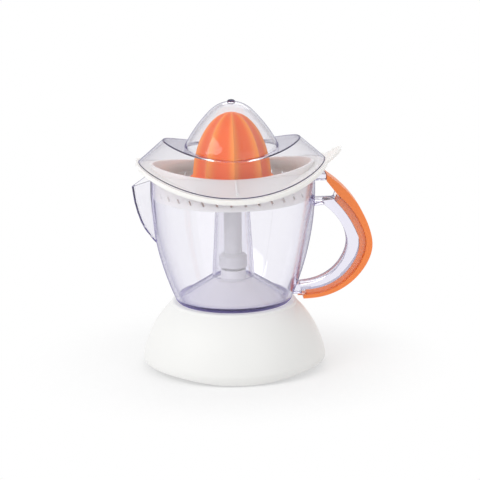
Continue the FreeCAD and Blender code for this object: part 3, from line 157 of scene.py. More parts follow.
def stacked(name, loops, sides=ROUND):
    """A solid drawn up from an oval ring through loops of (half length, half depth, height), in millimetres."""
    clear_selection()
    bpy.ops.mesh.primitive_circle_add(vertices=sides, radius=1.0, fill_type="NGON")
    piece = bpy.context.object
    piece.name = piece.data.name = name
    bpy.ops.object.mode_set(mode="EDIT")
    bpy.ops.mesh.select_all(action="SELECT")
    a, b, z = (value * MM for value in loops[0])
    bpy.ops.transform.resize(value=(a, b, 1.0), center_override=(0, 0, 0))
    bpy.ops.transform.translate(value=(0, 0, z))
    for loop in loops[1:]:
        a2, b2, z2 = (value * MM for value in loop)
        bpy.ops.mesh.extrude_region_move(TRANSFORM_OT_translate={"value": (0, 0, z2 - z)})
        bpy.ops.transform.resize(value=(a2 / a, b2 / b, 1.0), center_override=(0, 0, z2))
        a, b, z = a2, b2, z2
    outward(piece)
    return piece


def lathed(name, points, sides=ROUND):
    """A solid of revolution through points of (radius, height), in millimetres."""
    return stacked(name, [(max(r, 0.02), max(r, 0.02), z) for r, z in points], sides)


def outward(piece):
    """Turns every face outwards and leaves edit mode."""
    if bpy.context.mode != "EDIT_MESH":
        activate(piece)
        bpy.ops.object.mode_set(mode="EDIT")
    bpy.ops.mesh.select_all(action="SELECT")
    bpy.ops.mesh.normals_make_consistent(inside=False)
    bpy.ops.object.mode_set(mode="OBJECT")


def picked(piece, test):
    """Selects the corners at places that pass a test, and the edges between them."""
    corners = piece.data.vertices
    for vertex in corners:
        vertex.select = test(vertex.co)
    for edge in piece.data.edges:
        edge.select = all(corners[i].select for i in edge.vertices)
    for face in piece.data.polygons:
        face.select = False


def extruded(name, points, width, across=(0, 1, 0)):
    """A solid of even width from an outline of (x, z), or (y, z) when it runs across X, in millimetres."""
    clear_selection()
    bpy.ops.mesh.primitive_plane_add(size=0.001)
    piece = bpy.context.object
    piece.name = piece.data.name = name
    run = Vector(across)
    side = Vector((1, 0, 0)) if run.y else Vector((0, 1, 0))
    spots = [(side * x + Vector((0, 0, z)) - run * width / 2) * MM for x, z in points]
    bpy.ops.object.mode_set(mode="EDIT")
    bpy.ops.mesh.select_all(action="SELECT")
    bpy.ops.mesh.merge(type="CENTER")
    bpy.ops.transform.translate(value=spots[0])
    for before, after in zip(spots, spots[1:]):
        bpy.ops.mesh.extrude_vertices_move(TRANSFORM_OT_translate={"value": after - before})
    bpy.ops.mesh.select_all(action="SELECT")
    bpy.ops.mesh.edge_face_add()
    bpy.ops.mesh.extrude_region_move(TRANSFORM_OT_translate={"value": run * width * MM})
    outward(piece)
    return piece


def bent(points, steps=16):
    """Points (x, z) or (x, z, bend) with the runs that have a bend drawn as arcs, as on the CAD outline."""
    drawn = []
    for i, point in enumerate(points):
        if len(point) == 3:
            start, end = Vector(points[i - 1][:2]), Vector(point[:2])
            chord = end - start
            left = Vector((-chord.y, chord.x)).normalized() * math.copysign(1, point[2])
            drop = math.sqrt(point[2] ** 2 - chord.length_squared / 4)
            centre = (start + end) / 2 + left * drop
            first = start - centre
            sweep = math.copysign(2 * math.asin(chord.length / 2 / abs(point[2])), point[2])
            for step in range(1, steps):
                angle = sweep * step / steps
                turn = Vector((first.x * math.cos(angle) - first.y * math.sin(angle),
                               first.x * math.sin(angle) + first.y * math.cos(angle)))
                drawn.append(tuple(centre + turn))
        drawn.append(tuple(point[:2]))
    return drawn


def eased(points, passes=10):
    """Takes the kinks out of a line while its ends stay."""
    for _ in range(passes):
        points = [points[0]] + [
            tuple((a + 2 * b + c) / 4 for a, b, c in zip(points[i - 1], points[i], points[i + 1]))
            for i in range(1, len(points) - 1)
        ] + [points[-1]]
    return points


def bar(name, radius, height, sides=512):
    """A long bar along Y, for surfaces that bend up at both sides."""
    clear_selection()
    bpy.ops.mesh.primitive_cylinder_add(vertices=sides, radius=radius * MM, depth=0.3, location=(0, 0, height * MM),
                                        rotation=(math.pi / 2, 0, 0))
    piece = bpy.context.object
    piece.name = piece.data.name = name
    bpy.ops.object.transform_apply(location=True, rotation=True, scale=True)
    return piece


def shaped(piece, tool, operation):
    """Joins, cuts or keeps a piece by a tool that is then gone."""
    activate(piece)
    bpy.ops.object.modifier_add(type="BOOLEAN")
    modifier = piece.modifiers[-1]
    modifier.operation = operation
    modifier.solver = "EXACT"
    modifier.object = tool
    bpy.ops.object.modifier_apply(modifier=modifier.name)
    bpy.data.objects.remove(tool)
    return piece


def softened(piece, width, steps=3, angle=40):
    """Rounds a piece's edges as a mould does."""
    activate(piece)
    bpy.ops.object.modifier_add(type="BEVEL")
    modifier = piece.modifiers[-1]
    modifier.width = width * MM
    modifier.segments = steps
    modifier.limit_method = "ANGLE"
    modifier.angle_limit = math.radians(angle)
    modifier.harden_normals = False
    bpy.ops.object.modifier_apply(modifier=modifier.name)
    return piece


def finished(piece, material, body, slot, *nodes, angle=30):
    """Smooths a piece, gives it its material and lets it stand for CAD nodes."""
    activate(piece)
    bpy.ops.object.mode_set(mode="EDIT")
    bpy.ops.mesh.select_all(action="SELECT")
    bpy.ops.mesh.remove_doubles(threshold=0.00001)
    bpy.ops.object.mode_set(mode="OBJECT")
    bpy.ops.object.shade_smooth_by_angle(angle=math.radians(angle))
    piece.data.materials.clear()
    piece.data.materials.append(material)
    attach(piece, body)
    if nodes:
        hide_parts(*nodes)
    return piece


class Shade:
    """A value in a node tree that can be reckoned with, each step adding its Math node."""

    def __init__(self, nodes, socket):
        self.nodes = nodes
        self.socket = socket

    def step(self, operation, first, second=0.0):
        node = self.nodes.node("ShaderNodeMath", {"operation": operation}, {0: first, 1: second})
        return Shade(self.nodes, node.outputs[0])

    def __add__(self, other):
        return self.step("ADD", self, other)

    def __sub__(self, other):
        return self.step("SUBTRACT", self, other)

    def __rsub__(self, other):
        return self.step("SUBTRACT", other, self)

    def __mul__(self, other):
        return self.step("MULTIPLY", self, other)

    def __pow__(self, other):
        return self.step("POWER", self, other)

    __radd__ = __add__
    __rmul__ = __mul__


class Nodes:
    """A node tree and the one way in which nodes come into it."""

    def __init__(self, tree):
        self.tree = tree

    def node(self, kind, settings=None, inputs=None):
        """Adds a node: its settings first, then the values or links of its sockets."""
        node = self.tree.nodes.new(kind)
        for name, value in (settings or {}).items():
            setattr(node, name, value)
        for name, value in (inputs or {}).items():
            self.feed(node.inputs[name], value)
        return node

    def feed(self, socket, value):
        if isinstance(value, Shade):
            value = value.socket
        if isinstance(value, bpy.types.NodeSocket):
            self.tree.links.new(value, socket)
        elif socket.type == "RGBA" and len(value) == 3:
            socket.default_value = (*value, 1.0)
        else:
            socket.default_value = value

    def rays(self, first, *others):
        """1 for a ray of any of these kinds, and 0 for the rest."""
        path = self.node("ShaderNodeLightPath")
        share = Shade(self, path.outputs[first])
        for kind in others:
            share = share.step("MAXIMUM", share, path.outputs[kind])
        return share

    def mixed(self, share, first, second):
        """Two shaders, mixed by a share from 0 to 1."""
        return self.node("ShaderNodeMixShader", {}, {0: share, 1: first, 2: second}).outputs[0]

    def between(self, value, low, high, at_low, at_high):
        """A value that runs smoothly from one number to another."""
        node = self.node("ShaderNodeMapRange", {"interpolation_type": "SMOOTHSTEP"},
                         {"Value": value, "From Min": low, "From Max": high, "To Min": at_low, "To Max": at_high})
        return Shade(self, node.outputs["Result"])


class Paint(Nodes):
    """One material and the nodes in it."""

    def __init__(self, name):
        self.material = bpy.data.materials.new(name)
        self.material.use_nodes = True
        super().__init__(self.material.node_tree)
        self.shader = self.tree.nodes["Principled BSDF"]
        self.output = self.tree.nodes["Material Output"]
        self.place = self.node("ShaderNodeTexCoord").outputs["Object"]

    def set(self, **values):
        """Sets the shader's own sockets, named with underscores."""
        for name, value in values.items():
            self.feed(self.shader.inputs[name.replace("_", " ")], value)
        return self

    def noise(self, scale, detail=2.0, roughness=0.5):
        node = self.node("ShaderNodeTexNoise", {}, {"Vector": self.place, "Scale": scale, "Detail": detail,
                                                    "Roughness": roughness})
        return Shade(self, node.outputs["Fac"])

    def blend(self, share, first, second):
        """A colour between two, by a share from 0 to 1."""
        node = self.node("ShaderNodeMix", {"data_type": "RGBA"}, {"Factor": share, 6: first, 7: second})
        return node.outputs[2]

    def bump(self, height, strength, distance):
        node = self.node("ShaderNodeBump", {}, {"Height": height, "Strength": strength, "Distance": distance})
        self.feed(self.shader.inputs["Normal"], node.outputs["Normal"])
        return self

    def axes(self):
        node = self.node("ShaderNodeSeparateXYZ", {}, {0: self.place})
        return [Shade(self, node.outputs[i]) for i in range(3)]


def moulded_white(name, white, rough, gloss, glow):
    """Injection-moulded plastic: faint flow clouds, soft gloss and a fine skin; thin walls let some light through."""
    paint = Paint(name)
    clouds = paint.noise(18.0, 3.0)
    skin = paint.noise(900.0, 2.0)
    paint.set(Base_Color=paint.blend(clouds, shaded(white, 0.95), white), Roughness=rough + 0.08 * clouds,
              Coat_Weight=gloss, Coat_Roughness=0.2, Specular_IOR_Level=0.4, Subsurface_Weight=glow,
              Subsurface_Radius=(1.0, 1.0, 0.95), Subsurface_Scale=0.006)
    return paint.bump(skin, 0.05, 0.0002).material


def clear_plastic(name, tint, density, edge):
    """Clear styrene with a faint violet body colour and a faint random haze. The violet at the edges and the thick foot
    is painted shade: a violet diffuse is mixed in where trapped light makes the real plastic look darker.
    """
    paint = Paint(name)
    haze = paint.noise(60.0, 3.0)
    height = paint.axes()[2]
    # Painted shade: a violet diffuse share of 0.4 up to 58.5 mm high, on the thick foot ring, fading to almost nothing
    # by 62.5 mm.
    foot = paint.between(height, 0.0585, 0.0625, 0.4, 0.006)
    # Painted shade: Layer Weight mixes in more violet diffuse towards grazing edges, for the darker edges of clear
    # plastic.
    facing = paint.node("ShaderNodeLayerWeight", {}, {"Blend": 0.5}).outputs["Facing"]
    painted_edge_shade = Shade(paint, facing) ** 4.0
    haze_and_painted_shade = foot + 0.012 * haze + 0.85 * painted_edge_shade
    paint.set(Base_Color=(0.985, 0.982, 0.995), Roughness=0.012 + 0.03 * haze, IOR=1.5, Transmission_Weight=1.0)
    absorb = paint.node("ShaderNodeVolumeAbsorption", {}, {"Color": tint, "Density": density})
    paint.feed(paint.output.inputs["Volume"], absorb.outputs["Volume"])
    veil = paint.node("ShaderNodeBsdfTransparent", {}, {"Color": (0.985, 0.982, 0.992)})
    # Violet diffuse that carries the random haze and the painted shade of the foot and edges.
    haze_and_shade_violet = paint.node("ShaderNodeBsdfDiffuse", {}, {"Color": edge})
    body = paint.mixed(haze_and_painted_shade, paint.shader.outputs[0], haze_and_shade_violet.outputs[0])
    lit = paint.mixed(paint.rays("Is Shadow Ray", "Is Diffuse Ray"), body, veil.outputs[0])
    paint.feed(paint.output.inputs["Surface"], lit)
    return paint.material


def soft_orange(name, orange):
    """Satin grip plastic with a fine matt skin."""
    paint = Paint(name)
    clouds = paint.noise(25.0, 3.0)
    grain = paint.noise(1400.0, 2.0)
    deeper = tuple(value * share for value, share in zip(orange, (0.93, 0.84, 0.78)))
    paint.set(Base_Color=paint.blend(clouds, deeper, orange), Roughness=0.36 + 0.12 * clouds, Specular_IOR_Level=0.4,
              Coat_Weight=0.15, Coat_Roughness=0.3)
    return paint.bump(grain, 0.08, 0.0002).material


def ribbed_orange(name, hollow, light, ribs):
    """Orange cone, with a painted highlight: paler along its rib crests, standing in for light that catches the thin
    ribs and comes through them.
    """
    paint = Paint(name)
    x, y = paint.axes()[:2]
    wave = x.step("ARCTAN2", y, x) * ribs + math.pi * ribs / 2
    # Painted highlight: 1 at each rib crest, falling off between the ribs; it blends the hollow orange towards the pale
    # orange.
    painted_rib_highlight = (wave.step("COSINE", wave) * 0.5 + 0.5) ** 3.0
    clouds = paint.noise(40.0, 2.0)
    paint.set(Base_Color=paint.blend(painted_rib_highlight * (0.75 + 0.25 * clouds), hollow, light), Roughness=0.42 + 0.1 * clouds,
              Specular_IOR_Level=0.3, Coat_Weight=0.05, Coat_Roughness=0.3)
    return paint.bump(paint.noise(700.0), 0.05, 0.0002).material


def shaded(tint, share):
    """A darker share of a colour."""
    return tuple(value * share for value in tint)


def plain_plastic(name, tint, rough):
    """Plain moulded plastic or rubber inside and under the base."""
    paint = Paint(name)
    clouds = paint.noise(90.0, 3.0)
    paint.set(Base_Color=paint.blend(clouds, shaded(tint, 0.82), tint), Roughness=rough + 0.12 * clouds)
    return paint.bump(paint.noise(800.0), 0.1, 0.0002).material


def worked_metal(name, tint, rough, scale):
    """Turned or rolled metal with fine streaks along its run."""
    paint = Paint(name)
    streaks = paint.noise(scale, 6.0, 0.7)
    paint.set(Base_Color=paint.blend(streaks, shaded(tint, 0.75), tint), Metallic=1.0,
              Roughness=rough + 0.25 * streaks)
    return paint.bump(streaks, 0.1, 0.0001).material


def stacked_sheet(name, tint):
    """Core of stacked sheets: thin dark lines between them."""
    paint = Paint(name)
    z = paint.axes()[2]
    sheet = 0.0005
    edge = z.step("PINGPONG", z, sheet) * (1 / sheet)
    paint.set(Base_Color=paint.blend(edge, shaded(tint, 0.35), tint), Metallic=0.8, Roughness=0.45)
    return paint.bump(edge, 0.3, 0.0002).material


def wound_wire(name, tint):
    """Lacquered wire laid in close turns along the coil, with painted shade: each turn darkens towards the gaps between
    turns, where shade falls, and is lightest at its crown.
    """
    paint = Paint(name)
    x = paint.axes()[0]
    wire = 0.0002
    # Painted shade: colour runs from 0.4 of the copper at the gaps between turns to full copper at each turn's crown.
    crown = x.step("PINGPONG", x, wire) * (1 / wire)
    paint.set(Base_Color=paint.blend(crown, shaded(tint, 0.4), tint), Metallic=0.7, Roughness=0.32,
              Coat_Weight=0.4)
    return paint.bump(crown, 0.6, 0.0002).material


class CITRUS_OT_base(bpy.types.Operator):
    """White bell-shaped housing with a wavy rim, a ledge for the jug and the spindle's tower"""
    bl_idname = "citrus.base"
    bl_label = "Motor base"

    def execute(self, context):
        look = context.scene.citrus_base
        radius, ledge, wall = look.radius / MM, look.ledge / MM, look.wall / MM
        rim, widest, skirt_bend = radius - 1.9, 9.0, 85.0
        shoulder, shoulder_round = 55.5, 2.4
        deck, crown, crown_top = 45.5, 17.0, 76.0
        tower, tower_top, bore = 11.1, 85.6, 8.0
        shoulder_low, deck_edge = ledge - shoulder_round, shoulder - shoulder_round
        skirt = bent([(rim, 1.0), (radius, widest, 20.0), (shoulder, shoulder_low, skirt_bend),
                      (deck_edge, ledge, shoulder_round)], 20)
        mass = lathed("housing_shell", skirt + [(deck, ledge), (crown, crown_top), (tower, crown_top),
                                                (tower, tower_top)])
        inner = bent([(rim - wall, widest + wall), (shoulder - wall, shoulder_low - wall, skirt_bend)], 16)
        hollow = lathed("housing_hollow", [(rim - wall, -1.0)] + inner + [
            (deck_edge - wall, ledge - wall), (deck - wall / 2, ledge - wall), (crown - wall / 2, crown_top - wall),
            (bore, crown_top - wall), (bore, 90.0)])
        shaped(mass, hollow, "DIFFERENCE")
        wave = extruded("rim_wave", bent([(-88.0, -6.0), (88.0, -6.0), (88.0, 6.2), (36.0, 3.3, 420.0),
                                          (-36.0, 3.3, -282.9), (-88.0, 6.2, 420.0)], 24), 400.0)
        shaped(mass, wave, "DIFFERENCE")
        white = moulded_white("White housing", look.white, 0.34, 0.2, 0.0)
        finished(mass, white, "base", "white_housing", "base_housing")
        return {"FINISHED"}


class CITRUS_OT_jug(bpy.types.Operator):
    """Clear jug with a V spout, a raised floor and the chimney round the drive shaft"""
    bl_idname = "citrus.jug"
    bl_label = "Jug"

    def execute(self, context):
        look = context.scene.citrus_jug
        radius, wall, reach = look.radius / MM, look.wall / MM, look.spout / MM
        floor, floor_edge = 62.4, 46.7
        chimney_foot, chimney_low, chimney_high = 18.5, 80.3, 148.0
        vessel = lathed("jug_vessel", bent([(49.4, 58.1), JUG_FOOT, (radius, JUG_SHOULDER, JUG_BEND),
                                            (radius, 190.0)], 28))
        shaped(vessel, self.spout("spout_outside", reach, 0.0), "UNION")
        room = lathed("jug_room", [(chimney_foot, chimney_low), (floor_edge, floor)] + bent([
            (JUG_FOOT[0] - wall, floor), (radius - wall, JUG_SHOULDER, JUG_BEND - wall), (radius - wall, 200.0)], 28))
        chimney = lathed("chimney", [(18.9, 60.0), (chimney_foot, chimney_low), (14.4, chimney_high)])
        room = shaped(room, chimney, "DIFFERENCE")
        shaped(vessel, room, "DIFFERENCE")
        shaped(vessel, self.spout("spout_inside", reach, wall * 1.2), "DIFFERENCE")
        under = lathed("jug_under", [(floor_edge, 50.0), (floor_edge, 58.4), (17.0, 78.5), (12.9, 149.0)])
        shaped(vessel, under, "DIFFERENCE")
        shaped(vessel, bar("rim_saddle", RIM_SADDLE, 160.1 + RIM_SADDLE), "DIFFERENCE")
        lip = extruded("lip", [(-71.6, 230.0), (-101.0, 230.0), (-101.0, 155.4), (-71.6, 170.3)], 120.0)
        shaped(vessel, lip, "DIFFERENCE")
        lug = extruded("handle_lug", [(71.0, 164.0), (82.0, 164.0), (82.0, 170.0), (71.0, 170.0)], 14.0)
        shaped(vessel, softened(lug, 0.8), "UNION")
        clear = clear_plastic("Clear plastic", look.clear, 16.0, look.edge)
        finished(vessel, clear, "jug", "clear_plastic", "jug", "jug_foot", "jug_chimney", "jug_spout")
        return {"FINISHED"}

    def spout(self, name, reach, inset):
        """A three-sided loft whose keel bends out from the wall and rises nearly upright to the lip."""
        keel = ((0.0, 24.4), (0.07, 19.5), (0.147, 15.4), (0.23, 11.5), (0.32, 8.4), (0.45, 5.3), (0.59, 2.9),
                (0.8, 0.9), (1.0, 0.0))
        back, low, tall = 54.6, 108.0, 68.5
        half = math.radians(38.0)
        slope = math.tan(half)
        tip_round = 3.0
        reach += tip_round * (1 / math.sin(half) - 1)
        clear_selection()
        bpy.ops.mesh.primitive_circle_add(vertices=3, radius=1.0, fill_type="NGON", rotation=(0, 0, math.pi / 2))
        piece = bpy.context.object
        piece.name = piece.data.name = name
        bpy.ops.object.transform_apply(location=True, rotation=True, scale=True)
        bpy.ops.object.mode_set(mode="EDIT")
        bpy.ops.mesh.select_all(action="SELECT")
        height = low + inset / 2
        depth = reach - inset - keel[0][1] - back
        bpy.ops.transform.translate(value=(-0.5, 0, 0))
        bpy.ops.transform.resize(value=(depth / 1.5 * MM, depth * slope / math.sin(math.pi / 3) * MM, 1.0),
                                 center_override=(0, 0, 0))
        bpy.ops.transform.translate(value=(-back * MM, 0, height * MM))
        for (share, drop), (after, next_drop) in zip(keel, keel[1:]):
            rise = (after - share) * tall
            height += rise
            grown = (reach - inset - next_drop - back) / (reach - inset - drop - back)
            bpy.ops.mesh.extrude_region_move(TRANSFORM_OT_translate={"value": (0, 0, rise * MM)})
            bpy.ops.transform.resize(value=(grown, grown, 1.0), center_override=(-back * MM, 0, height * MM))
        outward(piece)
        tip = -(back + depth * 0.5) * MM
        picked(piece, lambda spot: spot.x < tip and abs(spot.y) < 0.0005)
        bpy.ops.object.mode_set(mode="EDIT")
        bpy.ops.mesh.bevel(offset=tip_round / slope * MM, segments=6, affect="EDGES")
        outward(piece)
        return piece


class CITRUS_OT_handle(bpy.types.Operator):
    """Clear curved channel on the jug, with the soft orange grip in it"""
    bl_idname = "citrus.handle"
    bl_label = "Handle"

    def execute(self, context):
        look = context.scene.citrus_jug
        step = eased(bent([(56.0, 62.5), (118.0, 106.0, 53.55), (91.0, 152.0, 76.7)], 20))
        hand = eased(bent([(60.0, 71.5), (101.5, 106.0, 41.0), (80.0, 142.5, 53.2)], 20))
        web = eased(bent([(59.6, 66.1), (112.0, 106.0, 47.8), (89.2, 146.0, 86.0)], 20))
        rim = eased(bent([(61.0, 58.7), (123.7, 104.0, 59.4), (82.3, 170.0, 92.1)], 24))
        channel = extruded("handle_channel", [(50.0, 62.5)] + step + [(89.0, 147.0), (65.6, 147.0), (65.6, 141.0)]
                           + hand[::-1] + [(50.0, 70.5)], 17.0)
        softened(channel, 1.2)
        way = extruded("channel_way", [(59.6, 57.5), (130.0, 57.5), (130.0, 160.0), (92.0, 160.0)] + web[::-1], 13.4)
        shaped(channel, way, "DIFFERENCE")
        radius = look.radius / MM
        vessel = lathed("vessel_side", bent([(JUG_FOOT[0], 50.0), JUG_FOOT, (radius, JUG_SHOULDER, JUG_BEND),
                                             (radius, 190.0)], 28))
        shaped(channel, vessel, "DIFFERENCE")
        finished(channel, bpy.data.materials["Clear plastic"], "jug", "clear_plastic", "handle_frame")
        seat, groove = self.swelled(step), self.swelled(web)
        band = extruded("grip_band", rim + [(82.3, 164.0)] + seat[::-1] + [(61.0, seat[0][1])], look.grip_width / MM)
        softened(band, 2.0, 5)
        inside = [(x, z) for x, z in groove if z < 147.5]
        tongue = extruded("grip_tongue", seat[2:-2] + inside[::-1][1:-1], 13.1)
        orange = soft_orange("Soft orange", look.orange)
        finished(tongue, orange, "jug", "orange_grip")
        finished(band, orange, "jug", "orange_grip", "handle_grip", angle=40)
        return {"FINISHED"}

    def swelled(self, line):
        """The edge moved outwards by a clearance."""
        middle_x, middle_z, growth = 68.0, 107.2, 1.009
        return [(middle_x + (x - middle_x) * growth, middle_z + (z - middle_z) * growth) for x, z in line]


class CITRUS_OT_bowl(bpy.types.Operator):
    """White strainer bowl: saddle flange, sloped apron, drain ring, slotted floor and lift tongue"""
    bl_idname = "citrus.bowl"
    bl_label = "Strainer bowl"

    def execute(self, context):
        look = context.scene.citrus_bowl
        long, deep, saddle = look.length / MM, look.depth / MM, look.saddle / MM
        flange = stacked("bowl_shell", [(long, deep, 140.0), (long, deep, 200.0)])
        shaped(flange, bar("flange_over", saddle, 164.4 + saddle), "DIFFERENCE")
        apron_foot, apron_level, mouth, mouth_level = 70.8, 163.9, 44.0, 174.7
        slope = (apron_foot - mouth) / (mouth_level - apron_level)
        apron = stacked("apron", [(84.0, apron_foot + 4 * slope, apron_level - 4), (71.5, mouth, mouth_level),
                                  (71.0, mouth - 4, mouth_level + 16)])
        shaped(apron, bar("mouth_over", 340.0, 340.0 + mouth_level, 720), "DIFFERENCE")
        outline = (long - 0.3, deep - 0.3)
        shaped(apron, stacked("flange_outline", [(*outline, 100.0), (*outline, 240.0)]), "INTERSECT")
        shaped(flange, apron, "UNION")
        shaped(flange, bar("flange_under", saddle, 160.4 + saddle), "INTERSECT")
        ring = lathed("drain_ring", [(69.5, 153.0), (69.5, 190.0)])
        shaped(ring, bar("ring_over", saddle, 163.4 + saddle), "DIFFERENCE")
        shaped(flange, ring, "UNION")
        shaped(flange, self.tongue(), "UNION")
        inner = 67.3
        room = stacked("bowl_room", [(inner, inner, 157.0), (inner, inner - 0.1, 161.9), (69.3, 41.8, mouth_level),
                                     (68.8, 37.8, 191.7)])
        shaped(flange, room, "DIFFERENCE")
        shaped(flange, lathed("floor_under", [(inner, 150.0), (inner, 155.0)]), "DIFFERENCE")
        rib = extruded("front_rib", [(-65.2, 162.9), (-46.0, 162.9), (-45.0, 175.0), (-65.2, 167.4)], 1.4, (1, 0, 0))
        shaped(flange, rib, "UNION")
        shaped(flange, lathed("bowl_collar", [(12.5, 153.0), (12.5, 165.0)], 64), "UNION")
        shaped(flange, lathed("collar_bore", [(9.55, 140.0), (9.55, 170.0)], 64), "DIFFERENCE")
        shaped(flange, self.ringed("floor_slots", 24, (20.0, 2.0, 6.0), 52.0, 156.0, 0.0), "DIFFERENCE")
        shaped(flange, self.ringed("drain_vents", 36, (9.0, 1.8, 4.4), 69.5, 159.2, 28.0), "DIFFERENCE")
        white = moulded_white("White bowl", look.white, 0.34, 0.15, 0.8)
        finished(flange, white, "bowl", "white_bowl", "strainer_bowl", "bowl_floor")
        return {"FINISHED"}

    def tongue(self):
        """Lift tab that runs up and outwards above the handle, with a round nose."""
        side = extruded("lift_tongue", [(80.0, 178.6), (98.0, 191.7), (98.0, 194.1), (82.6, 183.9),
                                         (80.0, 182.2)], 30.0)
        clear_selection()
        middle, half = 83.0, 13.0
        bpy.ops.mesh.primitive_cylinder_add(vertices=96, radius=half * MM, depth=0.08,
                                            location=(middle * MM, 0, 190.0 * MM))
        nose = bpy.context.object
        bpy.ops.object.transform_apply(location=True, rotation=True, scale=True)
        block = extruded("nose_block", [(60.0, 150.0), (middle, 150.0), (middle, 230.0), (60.0, 230.0)], 2 * half)
        shaped(nose, block, "UNION")
        shaped(side, nose, "INTERSECT")
        return side

    def ringed(self, name, count, block, reach, level, lean):
        """One cutter copied round the axis."""
        clear_selection()
        for i in range(count):
            turn = 2 * math.pi * (i + 0.5) / count
            place = Vector((reach * math.cos(turn), reach * math.sin(turn), level)) * MM
            tilt = Euler((math.radians(lean), 0, turn))
            bpy.ops.mesh.primitive_cube_add(size=1.0, location=place, rotation=tilt,
                                            scale=[value * MM for value in block])
            bpy.context.object.name = "%s_%d" % (name, i)
        for piece in bpy.data.objects:
            piece.select_set(piece.name.startswith(name + "_"))
        bpy.ops.object.join()
        cutter = bpy.context.object
        bpy.ops.object.transform_apply(location=True, rotation=True, scale=True)
        return cutter


class CITRUS_OT_cone(bpy.types.Operator):
    """Egg-shaped orange cone with sharp ribs and hollow flutes"""
    bl_idname = "citrus.cone"
    bl_label = "Pressing cone"

    def execute(self, context):
        look = context.scene.citrus_cone
        radius, height = look.radius / MM, look.height / MM
        ribs, steps = 8, 14
        levels = [math.sin(math.radians(2 + 4 * i)) for i in range(22)]
        egg = lathed("ribbed_cone", [(radius * math.sqrt(1 - s * s), 166.0 + height * s) for s in levels], ribs * steps)
        self.flute(egg, ribs, steps)
        foot = lathed("cone_foot", bent([(36.4, 166.0), (37.0, 166.6), (37.0, 167.6), (36.4, 168.2)], 4))
        shaped(egg, foot, "UNION")
        hollow = lathed("cone_hollow", [(27.2, 160.0), (27.2, 165.5), (24.5, 190.0), (16.9, 206.8), (0.0, 212.5)], 96)
        shaped(egg, hollow, "DIFFERENCE")
        socket = lathed("cone_socket", [(9.5, 178.0), (9.5, 215.0)], 48)
        shaped(egg, socket, "UNION")
        bore = lathed("cone_bore", [(7.1, 160.0), (7.1, 205.3)], 6)
        shaped(egg, bore, "DIFFERENCE")
        orange = ribbed_orange("Orange cone", look.orange, look.light, ribs)
        finished(egg, orange, "cone", "orange_cone", "cone", angle=25)
        return {"FINISHED"}

    def flute(self, piece, ribs, steps):
        """Draws the wall in to a hollow arc between the ribs, so that each rib stays sharp."""
        activate(piece)
        chord = math.radians(180.0 / ribs)
        valley = 0.86
        sag = math.cos(chord) - valley
        bend = (math.sin(chord) ** 2 + sag ** 2) / (2 * sag)
        middle = valley + bend
        for place in range(1, steps):
            share = place / steps
            lead = middle * math.cos((2 * share - 1.0) * chord)
            depth = lead - math.sqrt(lead ** 2 - middle ** 2 + bend ** 2)
            bpy.ops.object.mode_set(mode="OBJECT")
            picked(piece, lambda spot: abs(self.turned(spot, 2 * chord) - share) < 0.25 / steps)
            bpy.ops.object.mode_set(mode="EDIT")
            bpy.ops.transform.resize(value=(depth, depth, 1.0), center_override=(0, 0, 0))
        bpy.ops.object.mode_set(mode="OBJECT")

    def turned(self, spot, pitch):
        """How far a spot lies from one rib to the next, from 0 to 1."""
        return (math.atan2(spot.y, spot.x) + math.pi / 2) % pitch / pitch


class CITRUS_OT_lid(bpy.types.Operator):
    """Clear lid: flared skirt, top bent up at both sides and a dome over the cone"""
    bl_idname = "citrus.lid"
    bl_label = "Lid"

    def execute(self, context):
        look = context.scene.citrus_lid
        wall, valley, top = look.wall / MM, look.valley / MM, look.top / MM
        foot, foot_level, brow, brow_level, dip = (113.0, 81.4), 156.0, (60.0, 31.9), 203.0, 191.5
        lid = stacked("lid_shell", [(*foot, foot_level), (*brow, brow_level)], 256)
        shaped(lid, bar("lid_foot", RIM_SADDLE, 164.7 + RIM_SADDLE), "INTERSECT")
        shaped(lid, bar("lid_valley", valley, dip + valley), "DIFFERENCE")
        shaped(lid, self.dome("lid_dome", top, 0.0), "UNION")
        knob = lathed("lid_knob", [(3.6, top - 1.0), (3.6, top + 0.2), (3.2, top + 0.9), (2.3, top + 1.5),
                                   (1.1, top + 1.8)], 48)
        shaped(lid, knob, "UNION")
        inset = 1.4 * wall
        room = stacked("lid_room", [(*(half - inset for half in foot), foot_level),
                                    (*(half - inset for half in brow), brow_level)], 256)
        shaped(room, bar("lid_roof", valley + wall, dip + valley), "DIFFERENCE")
        shaped(lid, room, "DIFFERENCE")
        shaped(lid, self.dome("lid_attic", top, wall), "DIFFERENCE")
        finished(lid, clear_plastic("Clear lid", look.clear, 16.0, look.edge), "lid", "clear_plastic", "lid")
        return {"FINISHED"}

    def dome(self, name, top, inset):
        """Round crown that runs into long sides, inset by a wall."""
        crown_bend, side_bend, foot_radius = 26.0, 125.0, 41.3
        crown, side, foot = crown_bend - inset, side_bend - inset, foot_radius - inset
        half = math.sqrt(0.5)
        centre = top - crown_bend
        middle = (side_bend - crown_bend) * half
        foot_z = centre - middle + math.sqrt(side ** 2 - (foot + middle) ** 2)
        return lathed(name, bent([(foot, 187.5), (foot, foot_z), (crown * half, centre + crown * half, side),
                                  (0.0, centre + crown, crown)], 20))


